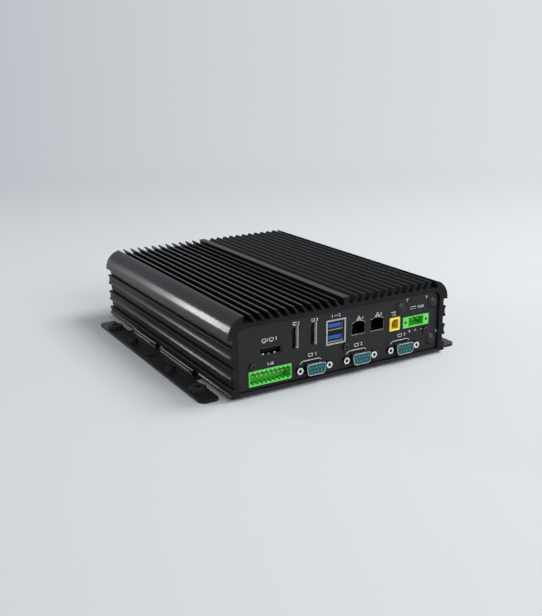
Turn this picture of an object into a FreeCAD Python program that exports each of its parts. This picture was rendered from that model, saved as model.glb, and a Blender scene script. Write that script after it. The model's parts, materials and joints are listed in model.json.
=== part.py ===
import FreeCAD, Part
import math
import os

# Fanless industrial computer: a finned aluminium extrusion that stands on two
# wall-mounting brackets, with every socket in one sunk panel at its front end.
# Millimetres, +Z up. The panel faces -Y. The origin is on the ground under the
# middle of the whole part, whose foremost edges are those of the serial shells.

V = FreeCAD.Vector

# ---------------------------------------------------------------- housing
housing_depth = 236.0
housing_height = 58.0
housing_width = 192.4          # over the lips of the two shoulders
rib_inset = 1.2                # side ribs stand this far inside the shoulder lips
shoulder_radius = 15.5
shoulder_tip_x = 83.5          # inner edge of each shoulder, from the middle
shoulder_undercut = 2.7        # the shoulder leans out over the outermost valley
lip_bevel = 0.4

strip_half_top = 3.0           # flat strip along the middle of the top
strip_half_root = 1.4
fin_height = 5.8
fin_pitch = 6.86
fin_lean = 3.7                 # sideways step of a fin from root to tip
fin_root_width = 2.5
fin_tip_width = 1.7
fin_crown = 0.45
first_fin_x = 6.3              # middle of the innermost fin's root

side_groove_depth = 2.6
crease_width = 0.8
crease_depth = 1.0
pad_period = 14.8              # one broad rib and one groove on the side walls
pad_height = 8.6
first_pad_top = 7.0
pad_edge = 0.5
pad_land = 1.1
pad_dish = 1.1

wall_thickness = 3.0           # behind the creases of the side grooves
roof_thickness = 3.2           # under the valleys between the fins
cavity_corner = 5.0
ledge_width = 6.0              # inner ledges that the bottom cover is screwed to
ledge_height = 3.8

# ---------------------------------------------------------------- sheet and plate
bracket_thickness = 2.0
cover_thickness = 2.4
panel_thickness = 2.0
panel_recess = 2.0
panel_gap = 0.6                # visible joint between panel and extrusion
fit_clearance = 0.1            # between parts that slide together
thread_clearance = 0.05        # radial, screw to tapped hole
hole_clearance = 0.2           # radial, screw to plain hole
socket_clearance = 0.2         # socket to its cut-out in the panel
socket_foot_gap = 4.0          # clear of the panel's rear face

# ---------------------------------------------------------------- brackets
bracket_length = 205.0
bracket_middle = 110.0         # middle of the bracket behind the housing's front
bracket_overlap = 16.0         # how far a bracket reaches in under the housing
ear_slot_width = 4.3           # between the housing's side and an ear
ear_width = 14.7
front_slot_length = 42.5       # open slot between ear and housing, from each end
rear_slot_length = 33.5
slot_corner = 2.0
ear_outer_corner = 5.0
ear_inner_corner = 3.5
lip_rise = 3.2                 # stop lips beside the housing's foot
lip_inner_bend = 1.2
stop_lip_web = 6.5             # sheet left between a slot's end and the next lip
stop_lip_break = 9.6           # sheet left between the two lips
front_lip_length = 60.0
stop_lip_window = 3.5

grommet_margin = 7.6           # from the bracket's outer edge
grommet_spacing = 164.0
grommet_outer_radius = 6.6
grommet_neck_radius = 4.2
grommet_bore_radius = 2.75
grommet_rise = 2.9
grommet_lobes = 10
grommet_lobe_radius = 1.5

cap_screw_margin = 6.8         # from the bracket's outer edge
cap_screw_spacing = 75.0
cap_head_radius = 3.5
cap_head_height = 4.0
cap_shank_radius = 2.0
hex_recess_radius = 1.73       # over the corners of a 3 mm key
hex_recess_depth = 2.0
open_hole_radius = 2.5

# ---------------------------------------------------------------- M3 screws
screw_radius = 1.5
pan_head_radius = 2.8
pan_head_height = 1.8
csk_head_radius = 2.9
csk_head_height = 1.5
drive_radius = 1.0
drive_depth = 0.9

underside_screw_x = 85.2
bracket_screw_step = 55.0
cover_screw_inset = 22.0       # from each end of the housing

# ---------------------------------------------------------------- boards inside
board_thickness = 1.6
board_underside = 21.6         # height above the housing's underside
mainboard_half_width = 85.0
mainboard_depth = 170.0
mainboard_setback = 6.0        # behind the housing's front end
post_xs = (-77.0, 1.0, 76.0)
post_width = 8.0
post_head_height = 5.0
post_column_setback = 18.0
post_column_depth = 8.0
panel_screw_height = 19.6
board_screw_inset = 4.5        # behind the front face of a post column

processor_size = 37.5
processor_height = 1.6
thermal_pad_height = 0.5
spreader_size = 62.0
spreader_stem = 8.0            # height of its narrow part
spreader_back = 78.0           # middle of the processor behind the front end

# ---------------------------------------------------------------- sockets: middle x, middle height
serial_xs = (-26.8, 13.5, 54.2)
serial_height = 9.3
serial_proud = 4.4             # the shells stand out past the end of the housing
jack_spacing = 24.99
jack_length = 2.2
io_header_x = -63.0
io_header_height = 10.8
lying_display_at = (-62.0, 28.4)
upright_display_xs = (-41.9, -26.4)
upright_display_height = 34.6
usb_at = (-7.8, 32.9)
lan_xs = (12.9, 29.9)
lan_height = 31.6
yellow_at = (45.8, 29.3)
power_at = (66.2, 28.5)
indicator_xs = (63.3, 70.1)
indicator_height = 35.6
upper_plug_xs = (51.2, 82.2)
upper_plug_drop = 8.1          # below the ceiling of the inside
lower_plug_at = (82.2, 10.8)

os.makedirs("parts", exist_ok=True)
parts = {}


# ================================================================ frame of reference

def back(distance):
    """World Y of a place this far behind the housing's front end."""
    return distance - (housing_depth + panel_recess - serial_proud) / 2


def up(height):
    """World Z of a height above the housing's underside."""
    return height + bracket_thickness


panel_face = panel_recess
panel_back = panel_recess + panel_thickness
board_top = board_underside + board_thickness
outer_half = housing_width / 2
rib_x = outer_half - rib_inset
groove_x = rib_x - side_groove_depth
foot_x = rib_x - pad_edge
valley_floor = housing_height - fin_height
shoulder_lip_height = housing_height - shoulder_radius
cavity_half = groove_x - crease_depth - wall_thickness
cavity_ceiling = valley_floor - roof_thickness
bracket_inner_x = rib_x - bracket_overlap
ear_inner_x = rib_x + ear_slot_width
bracket_reach = ear_inner_x + ear_width
grommet_x = bracket_reach - grommet_margin
cap_screw_x = bracket_reach - cap_screw_margin
upper_plug_height = cavity_ceiling - upper_plug_drop
plug_places = [(x, upper_plug_height) for x in upper_plug_xs] + [lower_plug_at]


# ================================================================ small makers

def box(x0, x1, y0, y1, z0, z1):
    """Block between two distances behind the front and two heights."""
    return Part.makeBox(x1 - x0, y1 - y0, z1 - z0, V(x0, back(y0), up(z0)))


def rod_y(x, z, radius, y0, y1):
    """Round bar that runs front to back."""
    return Part.makeCylinder(radius, y1 - y0, V(x, back(y0), up(z)), V(0, 1, 0))


def rod_z(x, y, radius, z0, z1):
    """Upright round bar."""
    return Part.makeCylinder(radius, z1 - z0, V(x, back(y), up(z0)))


def group(shapes):
    """Separate solids that share one node."""
    return Part.makeCompound([solid for shape in shapes for solid in shape.Solids])


def fused(first, *others):
    """One solid from solids that meet."""
    return first.fuse(list(others)).removeSplitter()


def hexagon_prism(centre, radius, length, axis):
    """Hexagonal bar with the given corner radius."""
    corners = []
    for k in range(7):
        angle = math.radians(60 * k)
        a = radius * math.cos(angle)
        b = radius * math.sin(angle)
        corners.append(V(a, b, 0) if axis.z else V(a, 0, b))
    face = Part.Face(Part.makePolygon(corners))
    face.translate(centre)
    return face.extrude(axis * length)


class Path:
    """A run of lines and arcs in an X-height plane, kept as edges."""

    def __init__(self, x, z):
        self.at = V(x, 0, z)
        self.edges = []

    def line(self, x, z):
        end = V(x, 0, z)
        self.edges.append(Part.makeLine(self.at, end))
        self.at = end

    def arc(self, through, end):
        last = V(end[0], 0, end[1])
        middle = V(through[0], 0, through[1])
        self.edges.append(Part.Arc(self.at, middle, last).toShape())
        self.at = last


def slab(edges, y0, y1):
    """Closed run of edges made solid between two distances behind the front."""
    wire = Part.Wire(Part.__sortEdges__(edges))
    solid = Part.Face(wire).extrude(V(0, y1 - y0, 0))
    solid.translate(V(0, back(y0), up(0)))
    return solid


def prism(points, y0, y1):
    """Straight-sided outline (x, height) made solid front to back."""
    corners = [V(x, 0, z) for x, z in points]
    face = Part.Face(Part.makePolygon(corners + corners[:1]))
    solid = face.extrude(V(0, y1 - y0, 0))
    solid.translate(V(0, back(y0), up(0)))
    return solid


def mirrored(shape):
    """The same thing on the other side of the middle plane."""
    return shape.mirror(V(0, 0, 0), V(1, 0, 0))


def rear_twin(shape):
    """The same thing at the other end of the housing."""
    return shape.mirror(V(0, back(housing_depth / 2), 0), V(0, 1, 0))


# ================================================================ the finned extrusion

def finned_top(path):
    """Strip, valleys and leaning fins, from the middle out to the last valley."""
    path.line(strip_half_top, housing_height)
    path.line(strip_half_root, valley_floor)
    reach = shoulder_tip_x - fin_lean - fin_tip_width - first_fin_x
    for k in range(int(reach / fin_pitch) + 1):
        root = first_fin_x + k * fin_pitch
        tip = root + fin_lean
        shoulder = housing_height - fin_crown
        path.line(root - fin_root_width / 2, valley_floor)
        path.line(tip - fin_tip_width / 2, shoulder)
        path.arc((tip, housing_height), (tip + fin_tip_width / 2, shoulder))
        path.line(root + fin_root_width / 2, valley_floor)


def shoulder(path):
    """Undercut inner face, then the large outer round down to the lip."""
    centre_x = outer_half - shoulder_radius
    start = math.acos((shoulder_tip_x - centre_x) / shoulder_radius)
    tip_z = shoulder_lip_height + shoulder_radius * math.sin(start)
    halfway = start / 2
    path.line(shoulder_tip_x + shoulder_undercut, valley_floor)
    path.line(shoulder_tip_x, tip_z)
    path.arc(
        (centre_x + shoulder_radius * math.cos(halfway),
         shoulder_lip_height + shoulder_radius * math.sin(halfway)),
        (outer_half, shoulder_lip_height))
    path.line(outer_half - lip_bevel, shoulder_lip_height - lip_bevel)
    path.line(groove_x, shoulder_lip_height - lip_bevel)


def ribbed_side(path):
    """Dished pads between deep grooves, each groove with a sharp crease below."""
    space = shoulder_lip_height - crease_width - lip_bevel - first_pad_top
    for k in range(int(space / pad_period), -1, -1):
        top = first_pad_top + k * pad_period
        bottom = max(top - pad_height, 0.0)
        path.line(groove_x, top + crease_width)
        path.line(groove_x - crease_depth, top + crease_width)
        path.line(groove_x - crease_depth, top)
        path.line(foot_x, top)
        path.line(rib_x, top - pad_edge)
        path.line(rib_x, top - pad_land)
        path.arc((rib_x - pad_dish, (top + bottom) / 2), (rib_x, bottom + pad_land))
        path.line(rib_x, bottom + pad_edge)
        path.line(foot_x, bottom)
        if bottom > 0:
            path.line(groove_x, bottom)


def cavity_outline(path):
    """Foot, cover seat and ledge, side wall and ceiling of the inside."""
    ledge_top = cover_thickness + ledge_height
    path.line(cavity_half, 0)
    path.line(cavity_half, cover_thickness)
    path.line(cavity_half - ledge_width, cover_thickness)
    path.line(cavity_half - ledge_width, ledge_top)
    path.line(cavity_half, ledge_top)
    path.line(cavity_half, cavity_ceiling - cavity_corner)
    turn = cavity_corner * (1 - math.sqrt(0.5))
    path.arc((cavity_half - turn, cavity_ceiling - turn),
             (cavity_half - cavity_corner, cavity_ceiling))
    path.line(0, cavity_ceiling)


def under_holes(radius, z0, z1, ys, sides=(-1, 1)):
    """Upright holes or shanks on the line of screws under each side."""
    return [rod_z(s * underside_screw_x, y, radius, z0, z1) for s in sides for y in ys]


bracket_screw_ys = [bracket_middle + k * bracket_screw_step for k in (-1, 0, 1)]
cover_screw_ys = [cover_screw_inset, housing_depth - cover_screw_inset]
ledge_top = cover_thickness + ledge_height


def extruded_housing():
    half = Path(0, housing_height)
    finned_top(half)
    shoulder(half)
    ribbed_side(half)
    cavity_outline(half)
    body = slab(half.edges + [mirrored(e) for e in half.edges], 0, housing_depth)
    pocket = box(-cavity_half, cavity_half, 0, panel_back, cover_thickness, ledge_top)
    taps = under_holes(screw_radius + thread_clearance, cover_thickness, ledge_top,
                       bracket_screw_ys + cover_screw_ys)
    return body.cut([pocket, rear_twin(pocket)] + taps).removeSplitter()


# ================================================================ screws

def csk_screw(x, y, seat, tip):
    """Countersunk screw driven upwards, its head flush with the face at seat."""
    cone = Part.makeCone(csk_head_radius, screw_radius, csk_head_height,
                         V(x, back(y), up(seat)))
    shank = rod_z(x, y, screw_radius, seat + csk_head_height, tip)
    drive = hexagon_prism(V(x, back(y), up(seat)), drive_radius, drive_depth, V(0, 0, 1))
    return fused(cone, shank).cut(drive)


def csk_hole(x, y, seat, top):
    """Hole and countersink for one such screw."""
    cone = Part.makeCone(csk_head_radius, screw_radius, csk_head_height,
                         V(x, back(y), up(seat)))
    return cone.fuse(rod_z(x, y, screw_radius + hole_clearance, seat, top))


def pan_screw(x, z, seat, tip):
    """Pan-head screw driven towards the rear."""
    head = rod_y(x, z, pan_head_radius, seat - pan_head_height, seat)
    rim = max(head.Edges, key=lambda e: -e.CenterOfMass.y if len(e.Vertexes) == 1 else -1e9)
    head = head.makeFillet(pan_head_height * 0.45, [rim])
    shank = rod_y(x, z, screw_radius, seat, tip)
    face = V(x, back(seat - pan_head_height), up(z))
    drive = hexagon_prism(face, drive_radius, drive_depth, V(0, 1, 0))
    return fused(head, shank).cut(drive)


def board_screw(x, y):
    """Pan-head screw that holds the mainboard down on a post."""
    head = rod_z(x, y, pan_head_radius, board_top, board_top + pan_head_height)
    shank = rod_z(x, y, screw_radius, board_top - board_screw_length, board_top)
    return fused(head, shank)


# ================================================================ covers, panels and posts

board_screw_length = 7.0
panel_screw_length = 8.0
screw_core = screw_radius + thread_clearance
post_column_back = post_column_setback + post_column_depth
board_screw_y = post_column_setback + board_screw_inset


def bottom_cover():
    half = cavity_half - fit_clearance
    plate = box(-half, half, 0, housing_depth, 0, cover_thickness)
    bracket_holes = under_holes(screw_radius + hole_clearance, 0, cover_thickness,
                                bracket_screw_ys)
    cover_holes = [csk_hole(s * underside_screw_x, y, 0, cover_thickness)
                   for s in (-1, 1) for y in cover_screw_ys]
    drive_holes = [csk_hole(x, y, 0, cover_thickness) for x, y in drive_screw_places()]
    return plate.cut(bracket_holes + cover_holes + drive_holes)


def panel_blank():
    """Plate that fills the end opening, less the joint all round."""
    half = cavity_half - panel_gap
    low = cover_thickness + panel_gap
    high = cavity_ceiling - panel_gap
    corner = cavity_corner - panel_gap
    turn = corner * (1 - math.sqrt(0.5))
    edge = Path(0, low)
    edge.line(half, low)
    edge.line(half, high - corner)
    edge.arc((half - turn, high - turn), (half - corner, high))
    edge.line(0, high)
    return slab(edge.edges + [mirrored(e) for e in edge.edges], panel_face, panel_back)


def panel_screw_holes():
    return [rod_y(x, panel_screw_height, screw_radius + hole_clearance, panel_face, panel_back)
            for x in post_xs]


def panel_screws():
    tip = panel_back + panel_screw_length
    return group([pan_screw(x, panel_screw_height, panel_face, tip) for x in post_xs])


def board_post(x):
    """Post on the bottom cover: its head carries the board and the panel's screw."""
    half = post_width / 2
    column = box(x - half, x + half, post_column_setback, post_column_back,
                 cover_thickness, board_underside)
    head = box(x - half, x + half, panel_back, post_column_back,
               board_underside - post_head_height, board_underside)
    panel_tap = rod_y(x, panel_screw_height, screw_core, panel_back,
                      panel_back + panel_screw_length + 1)
    board_tap = rod_z(x, board_screw_y, screw_core,
                      board_top - board_screw_length - 1, board_underside)
    return fused(column, head).cut([panel_tap, board_tap])


# ================================================================ brackets

bracket_front = bracket_middle - bracket_length / 2
bracket_back = bracket_middle + bracket_length / 2


def rounded(shape, places, radius):
    """Round the upright edges that stand at the given (x, distance) places."""
    edges = []
    for x, y in places:
        for edge in shape.Edges:
            spot = edge.CenterOfMass
            upright = abs(edge.tangentAt(edge.FirstParameter).z) > 0.99
            if upright and abs(spot.x - x) < 0.01 and abs(spot.y - back(y)) < 0.01:
                edges.append(edge)
    return shape.makeFillet(radius, edges)


def stop_lip(y0, y1):
    """Tongue bent up out of the plate, beside the housing's foot."""
    inner = rib_x + fit_clearance
    outer = inner + bracket_thickness
    small = lip_inner_bend
    large = lip_inner_bend + bracket_thickness
    bend_x = outer + small
    low = -bracket_thickness
    diagonal = math.sqrt(0.5)
    centre_z = small
    path = Path(bend_x, low)
    path.arc((bend_x - large * diagonal, centre_z - large * diagonal), (inner, centre_z))
    path.line(inner, lip_rise)
    path.line(outer, lip_rise)
    path.line(outer, centre_z)
    path.arc((bend_x - small * diagonal, centre_z - small * diagonal), (bend_x, 0))
    path.line(bend_x, low)
    return slab(path.edges, y0, y1), bend_x


def mounting_bracket():
    """Right-hand bracket: flat plate, two ears, two stop lips."""
    low = -bracket_thickness
    plate = box(bracket_inner_x, bracket_reach, bracket_front, bracket_back, low, 0)
    slot_ends = (bracket_front + front_slot_length, bracket_back - rear_slot_length)
    front_slot = box(bracket_inner_x - 1, ear_inner_x, bracket_front - 1, slot_ends[0], low, 0)
    rear_slot = box(bracket_inner_x - 1, ear_inner_x, slot_ends[1], bracket_back + 1, low, 0)
    plate = plate.cut([front_slot, rear_slot])
    plate = rounded(plate, [(ear_inner_x, y) for y in slot_ends], slot_corner)
    ends = (bracket_front, bracket_back)
    plate = rounded(plate, [(bracket_reach, y) for y in ends], ear_outer_corner)
    plate = rounded(plate, [(ear_inner_x, y) for y in ends], ear_inner_corner)
    front_lip_start = slot_ends[0] + stop_lip_web
    front_lip_end = front_lip_start + front_lip_length
    rear_lip_end = slot_ends[1] - stop_lip_web
    lips = []
    for start, end in ((front_lip_start, front_lip_end),
                       (front_lip_end + stop_lip_break, rear_lip_end)):
        lip, bend_x = stop_lip(start, end)
        window = box(rib_x - stop_lip_window, bend_x, start, end, low, 0)
        plate = plate.cut(window)
        lips.append(lip)
    plate = fused(plate, *lips)
    holes = [csk_hole(underside_screw_x, y, low, 0) for y in bracket_screw_ys]
    holes += [rod_z(grommet_x, y, grommet_neck_radius, low, 0) for y in grommet_ys]
    holes += [rod_z(cap_screw_x, y, cap_shank_radius + thread_clearance, low, 0)
              for y in cap_screw_ys]
    holes.append(rod_z(cap_screw_x, bracket_middle, open_hole_radius, low, 0))
    return plate.cut(holes)


grommet_ys = [bracket_middle + s * grommet_spacing / 2 for s in (-1, 1)]
cap_screw_ys = [bracket_middle + s * cap_screw_spacing / 2 for s in (-1, 1)]


def grommet(x, y):
    """Lobed rubber bush snapped into an ear, bored for the wall screw."""
    neck = rod_z(x, y, grommet_neck_radius, -bracket_thickness, grommet_rise)
    collar = rod_z(x, y, grommet_outer_radius - grommet_lobe_radius * 0.6, 0, grommet_rise)
    ring = grommet_outer_radius - grommet_lobe_radius
    lobes = []
    for k in range(grommet_lobes):
        angle = 2 * math.pi * k / grommet_lobes
        lobe = rod_z(x + ring * math.cos(angle), y + ring * math.sin(angle),
                     grommet_lobe_radius, 0, grommet_rise - 0.7)
        lobes.append(lobe)
    bore = rod_z(x, y, grommet_bore_radius, -bracket_thickness, grommet_rise)
    return fused(neck, collar, *lobes).cut(bore)


def cap_screw(x, y):
    """Hexagon socket cap screw in a tapped hole of the bracket."""
    head = rod_z(x, y, cap_head_radius, 0, cap_head_height)
    shank = rod_z(x, y, cap_shank_radius, -bracket_thickness, 0)
    recess = hexagon_prism(V(x, back(y), up(cap_head_height - hex_recess_depth)),
                           hex_recess_radius, hex_recess_depth, V(0, 0, 1))
    return fused(head, shank).cut(recess)


# ================================================================ serial sockets

dsub_width = 17.2              # outside of the shell, wide side up
dsub_height = 8.6
dsub_slant = 10.0              # degrees, ends of the shell
dsub_corner = 2.4
dsub_wall = 0.5
dsub_flange = (30.8, 12.5, 0.8)
dsub_cavity = 1.0              # face of the moulding behind the shell's edge
dsub_body = (19.2, 10.6)
dsub_pin_pitch = 2.77
dsub_row_gap = 2.84
pin_radius = 0.5
pin_recess = 0.2
serial_board_setback = 14.5
jack_across_corners = 5.5
jack_bore_radius = 1.3
jack_bore_depth = 3.4


def dsub_outline(grow, y0, y1, x, z):
    """D-shaped block with its wide side up and rounded corners."""
    half_height = dsub_height / 2 + grow
    slope = math.tan(math.radians(dsub_slant))
    top = dsub_width / 2 + grow
    bottom = top - 2 * half_height * slope
    points = [(-bottom, -half_height), (bottom, -half_height), (top, half_height),
              (-top, half_height)]
    block = prism([(x + px, z + pz) for px, pz in points], y0, y1)
    long_edges = [e for e in block.Edges
                  if abs(e.tangentAt(e.FirstParameter).y) > 0.99]
    return block.makeFillet(dsub_corner + grow, long_edges)


def serial_shell(x):
    width, height, sheet = dsub_flange
    front = panel_face - serial_proud
    flange = box(x - width / 2, x + width / 2, panel_back, panel_back + sheet,
                 serial_height - height / 2, serial_height + height / 2)
    nose = dsub_outline(0, front, panel_back + sheet, x, serial_height)
    hollow = dsub_outline(-dsub_wall, front, panel_back + sheet, x, serial_height)
    holes = [rod_y(x + s * jack_spacing / 2, serial_height, jack_thread_radius,
                   panel_back, panel_back + sheet) for s in (-1, 1)]
    return fused(flange, nose).cut([hollow] + holes)


def serial_insulator(x):
    width, height = dsub_body
    sheet = dsub_flange[2]
    front = panel_face - serial_proud + dsub_cavity
    face = dsub_outline(-dsub_wall, front, panel_back + sheet, x, serial_height)
    rear = box(x - width / 2, x + width / 2, panel_back + sheet, serial_board_setback,
               serial_height - height / 2, serial_height + height / 2)
    pins = [rod_y(px, pz, pin_radius, front, serial_board_setback)
            for px, pz in serial_pin_places(x)]
    return fused(face, rear).cut(pins)


def serial_pin_places(x):
    upper = [(x + (k - 2) * dsub_pin_pitch, serial_height + dsub_row_gap / 2) for k in range(5)]
    lower = [(x + (k - 1.5) * dsub_pin_pitch, serial_height - dsub_row_gap / 2)
             for k in range(4)]
    return upper + lower


def serial_pins():
    front = panel_face - serial_proud + pin_recess
    return group([rod_y(px, pz, pin_radius, front, serial_board_setback)
                  for x in serial_xs for px, pz in serial_pin_places(x)])


jack_thread_radius = 1.55
jack_tail = 5.0                # threaded end behind the panel


def jack_nut(x):
    """Hexagonal jack nut that clamps a serial socket to the panel."""
    centre = V(x, back(panel_face - jack_length), up(serial_height))
    nut = hexagon_prism(centre, jack_across_corners / 2, jack_length, V(0, 1, 0))
    tail = rod_y(x, serial_height, jack_thread_radius - fit_clearance / 2,
                 panel_face, panel_back + jack_tail)
    bore = rod_y(x, serial_height, jack_bore_radius, panel_face - jack_length,
                 panel_face - jack_length + jack_bore_depth)
    return fused(nut, tail).cut(bore)


def serial_cutout(x):
    nose = dsub_outline(socket_clearance, panel_face, panel_back, x, serial_height)
    holes = [rod_y(x + s * jack_spacing / 2, serial_height, jack_thread_radius,
                   panel_face, panel_back) for s in (-1, 1)]
    return [nose] + holes


# ================================================================ terminal headers

header_wall = 0.9
header_proud = 0.8             # headers stand this far in front of the panel
header_pin = 1.0
header_pin_recess = 4.0        # tips of the pins behind the header's face
header_floor = 9.0             # depth of the cavity
header_body_depth = 12.0
coding_notch = 1.1
notch_skin = 0.3               # wall left over a notch
notch_end = 2.0                # and behind it

io_poles = 10
io_pitch = 3.5
io_width = 34.2
io_height = 11.0
io_end_wall = 0.7
io_tooth = (1.7, 0.9, 6.0)     # width, height and length of the ribs beside each pin
power_poles = 3
power_pitch = 5.08
power_height = 8.6
power_flange = 4.8
power_insert_radius = 1.2
power_insert_bore = 0.9
power_insert_recess = 1.5
power_insert_length = 6.5
yellow_width = 9.6
yellow_height = 10.3
yellow_chamfer = 1.8
yellow_wall = 1.5
yellow_pin_gap = 3.5


def header_pins(x, z, poles, pitch):
    """Row of square pins standing in the cavity of a header."""
    front = panel_face - header_proud + header_pin_recess
    rear = panel_face - header_proud + header_floor
    half = header_pin / 2
    places = [x + (k - (poles - 1) / 2) * pitch for k in range(poles)]
    return [box(px - half, px + half, front, rear, z - half, z + half) for px in places]


def io_header():
    """Ten-pole header on the serial board, with a rib above and below each pin."""
    half = io_width / 2
    front = panel_face - header_proud
    low = io_header_height - io_height / 2
    high = io_header_height + io_height / 2
    body = box(io_header_x - half, io_header_x + half, front, serial_board_setback, low, high)
    cavity = box(io_header_x - half + io_end_wall, io_header_x + half - io_end_wall,
                 front, front + header_floor, low + header_wall, high - header_wall)
    width, height, length = io_tooth
    teeth = []
    for k in range(io_poles):
        middle = io_header_x + (k - (io_poles - 1) / 2) * io_pitch
        left = middle - width / 2
        for z in (low + header_wall, high - header_wall - height):
            teeth.append(box(left, left + width, front, front + length, z, z + height))
    return body.cut(cavity.cut(teeth))


def power_header():
    """Flanged three-pole header that stands on the mainboard."""
    x, z = power_at
    front = panel_face - header_proud
    core = power_poles * power_pitch / 2
    half = core + power_flange
    low = z - power_height / 2
    high = z + power_height / 2
    body = box(x - half, x + half, front, front + header_body_depth, low, high)
    foot = box(x - core, x + core, panel_back + socket_foot_gap, front + header_body_depth,
               board_top, low)
    cavity = box(x - core + header_wall / 2, x + core - header_wall / 2,
                 front, front + header_floor, low + header_wall, high - header_wall)
    notch_step = power_pitch / 2
    notches = [box(x + s * notch_step - coding_notch / 2, x + s * notch_step + coding_notch / 2,
                   front, front + header_floor - notch_end,
                   high - header_wall, high - notch_skin)
               for s in (-1, 1)]
    bores = [rod_y(px, z, power_insert_radius, front, front + header_body_depth)
             for px in power_insert_xs()]
    return fused(body, foot).cut([cavity] + notches + bores)


def power_insert_xs():
    reach = power_poles * power_pitch / 2 + power_flange / 2
    return [power_at[0] - reach, power_at[0] + reach]


def power_inserts():
    """Threaded brass sleeves in the two flanges."""
    front = panel_face - header_proud + power_insert_recess
    rear = front + power_insert_length
    sleeves = []
    for x in power_insert_xs():
        sleeve = rod_y(x, power_at[1], power_insert_radius, front, rear)
        sleeves.append(sleeve.cut(rod_y(x, power_at[1], power_insert_bore, front, rear)))
    return group(sleeves)


def yellow_socket():
    """Two-pole socket with one corner of its cavity cut off."""
    x, z = yellow_at
    front = panel_face - header_proud
    low = z - yellow_height / 2
    high = z + yellow_height / 2
    half = yellow_width / 2
    body = box(x - half, x + half, front, front + header_body_depth, low, high)
    foot = box(x - half, x + half, panel_back + socket_foot_gap, front + header_body_depth,
               board_top, low)
    inner = half - yellow_wall
    bottom = low + yellow_wall
    top = high - yellow_wall
    outline = [(x - inner, bottom), (x + inner, bottom), (x + inner, top),
               (x - inner + yellow_chamfer, top), (x - inner, top - yellow_chamfer)]
    cavity = prism(outline, front, front + header_floor)
    return fused(body, foot).cut(cavity)


def header_cutout(x, z, half_width, height):
    gap = socket_clearance
    return box(x - half_width - gap, x + half_width + gap, panel_face, panel_back,
               z - height / 2 - gap, z + height / 2 + gap)


# ================================================================ display sockets

display_long = 16.1            # opening
display_short = 4.8
display_chamfer = 2.0
display_wall = 0.4
display_depth = 15.0
display_cavity = 10.0
tongue_long = 12.6
tongue_short = 1.5
tongue_depth = 8.0
display_heel = 2.0             # behind the shell, down to the board
display_foot = 6.0             # under the rear of the shell
display_setback = 0.8          # edges of the shells behind the panel's face
lining_thickness = 0.3
lying_lining_start = 0.6       # where the moulding begins to line the shell
upright_lining_start = 3.0


def display_outline(at, upright, grow, y0, y1):
    """Socket outline with one cut corner, lying or turned to stand upright."""
    a = display_long / 2 + grow
    b = display_short / 2 + grow
    c = display_chamfer
    points = [(-a + c, -b), (a, -b), (a, b), (-a, b), (-a, -b + c)]
    if upright:
        points = [(q, -p) for p, q in points]
    return prism([(at[0] + p, at[1] + q) for p, q in points], y0, y1)


def display_shell(at, upright):
    front = panel_face + display_setback
    rear = front + display_depth
    skin = display_outline(at, upright, display_wall, front, rear)
    return skin.cut(display_outline(at, upright, 0, front, rear))


def display_insert(at, upright):
    """Moulded block with its lining, contact tongue and foot down to the board."""
    front = panel_face + display_setback
    rear = front + display_depth
    floor = front + display_cavity
    start = front + (upright_lining_start if upright else lying_lining_start)
    block = display_outline(at, upright, 0, start, rear)
    well = display_outline(at, upright, -lining_thickness, start, floor)
    long_half = tongue_long / 2
    short_half = tongue_short / 2
    x, z = at
    if upright:
        tongue = box(x - short_half, x + short_half, floor - tongue_depth, floor,
                     z - long_half, z + long_half)
        span = display_short / 2 + display_wall
        bottom = z - display_long / 2 - display_wall
    else:
        tongue = box(x - long_half, x + long_half, floor - tongue_depth, floor,
                     z - short_half, z + short_half)
        span = display_long / 2 + display_wall
        bottom = z - display_short / 2 - display_wall
    end = rear + display_heel
    heel = box(x - span, x + span, rear, end, board_top, z + display_short / 2)
    foot = box(x - span, x + span, rear - display_foot, end, board_top, bottom)
    return fused(block.cut(well), tongue, heel, foot)


# ================================================================ USB and network

usb_body = (16.2, 17.9)
usb_frame = (17.1, 18.8)       # rim that covers the edge of the cut-out
usb_frame_edge = 1.2
usb_frame_proud = 0.5
usb_mouth_depth = 4.5          # from the rim to the wall that the port shells stand on
usb_nest = (13.5, 6.5)         # outside of one port's shell
usb_nest_recess = 1.0          # its edge behind the rim
usb_nest_wall = 0.4
usb_port_rise = 4.45           # each port's middle from the stack's middle
usb_depth = 17.0
usb_cavity = 10.0
usb_tongue = (11.2, 3.0, 8.5)

lan_opening = (12.0, 8.8)
lan_notches = ((8.4, 0.9), (4.4, 1.7))
lan_wall = 0.4
lan_shield = (15.8, 21.0)
lan_cavity = 12.0
lan_setback = 0.6              # edge of the shell behind the panel's face
lan_contacts = 8
lan_contact_pitch = 1.02
lan_contact_width = 0.4
lan_contact_length = 7.0


def usb_pair(width, height, y0, y1):
    """Two equal blocks centred on the two ports, one above the other."""
    x, z = usb_at
    return [box(x - width / 2, x + width / 2, y0, y1,
                z + s * usb_port_rise - height / 2, z + s * usb_port_rise + height / 2)
            for s in (-1, 1)]


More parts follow.
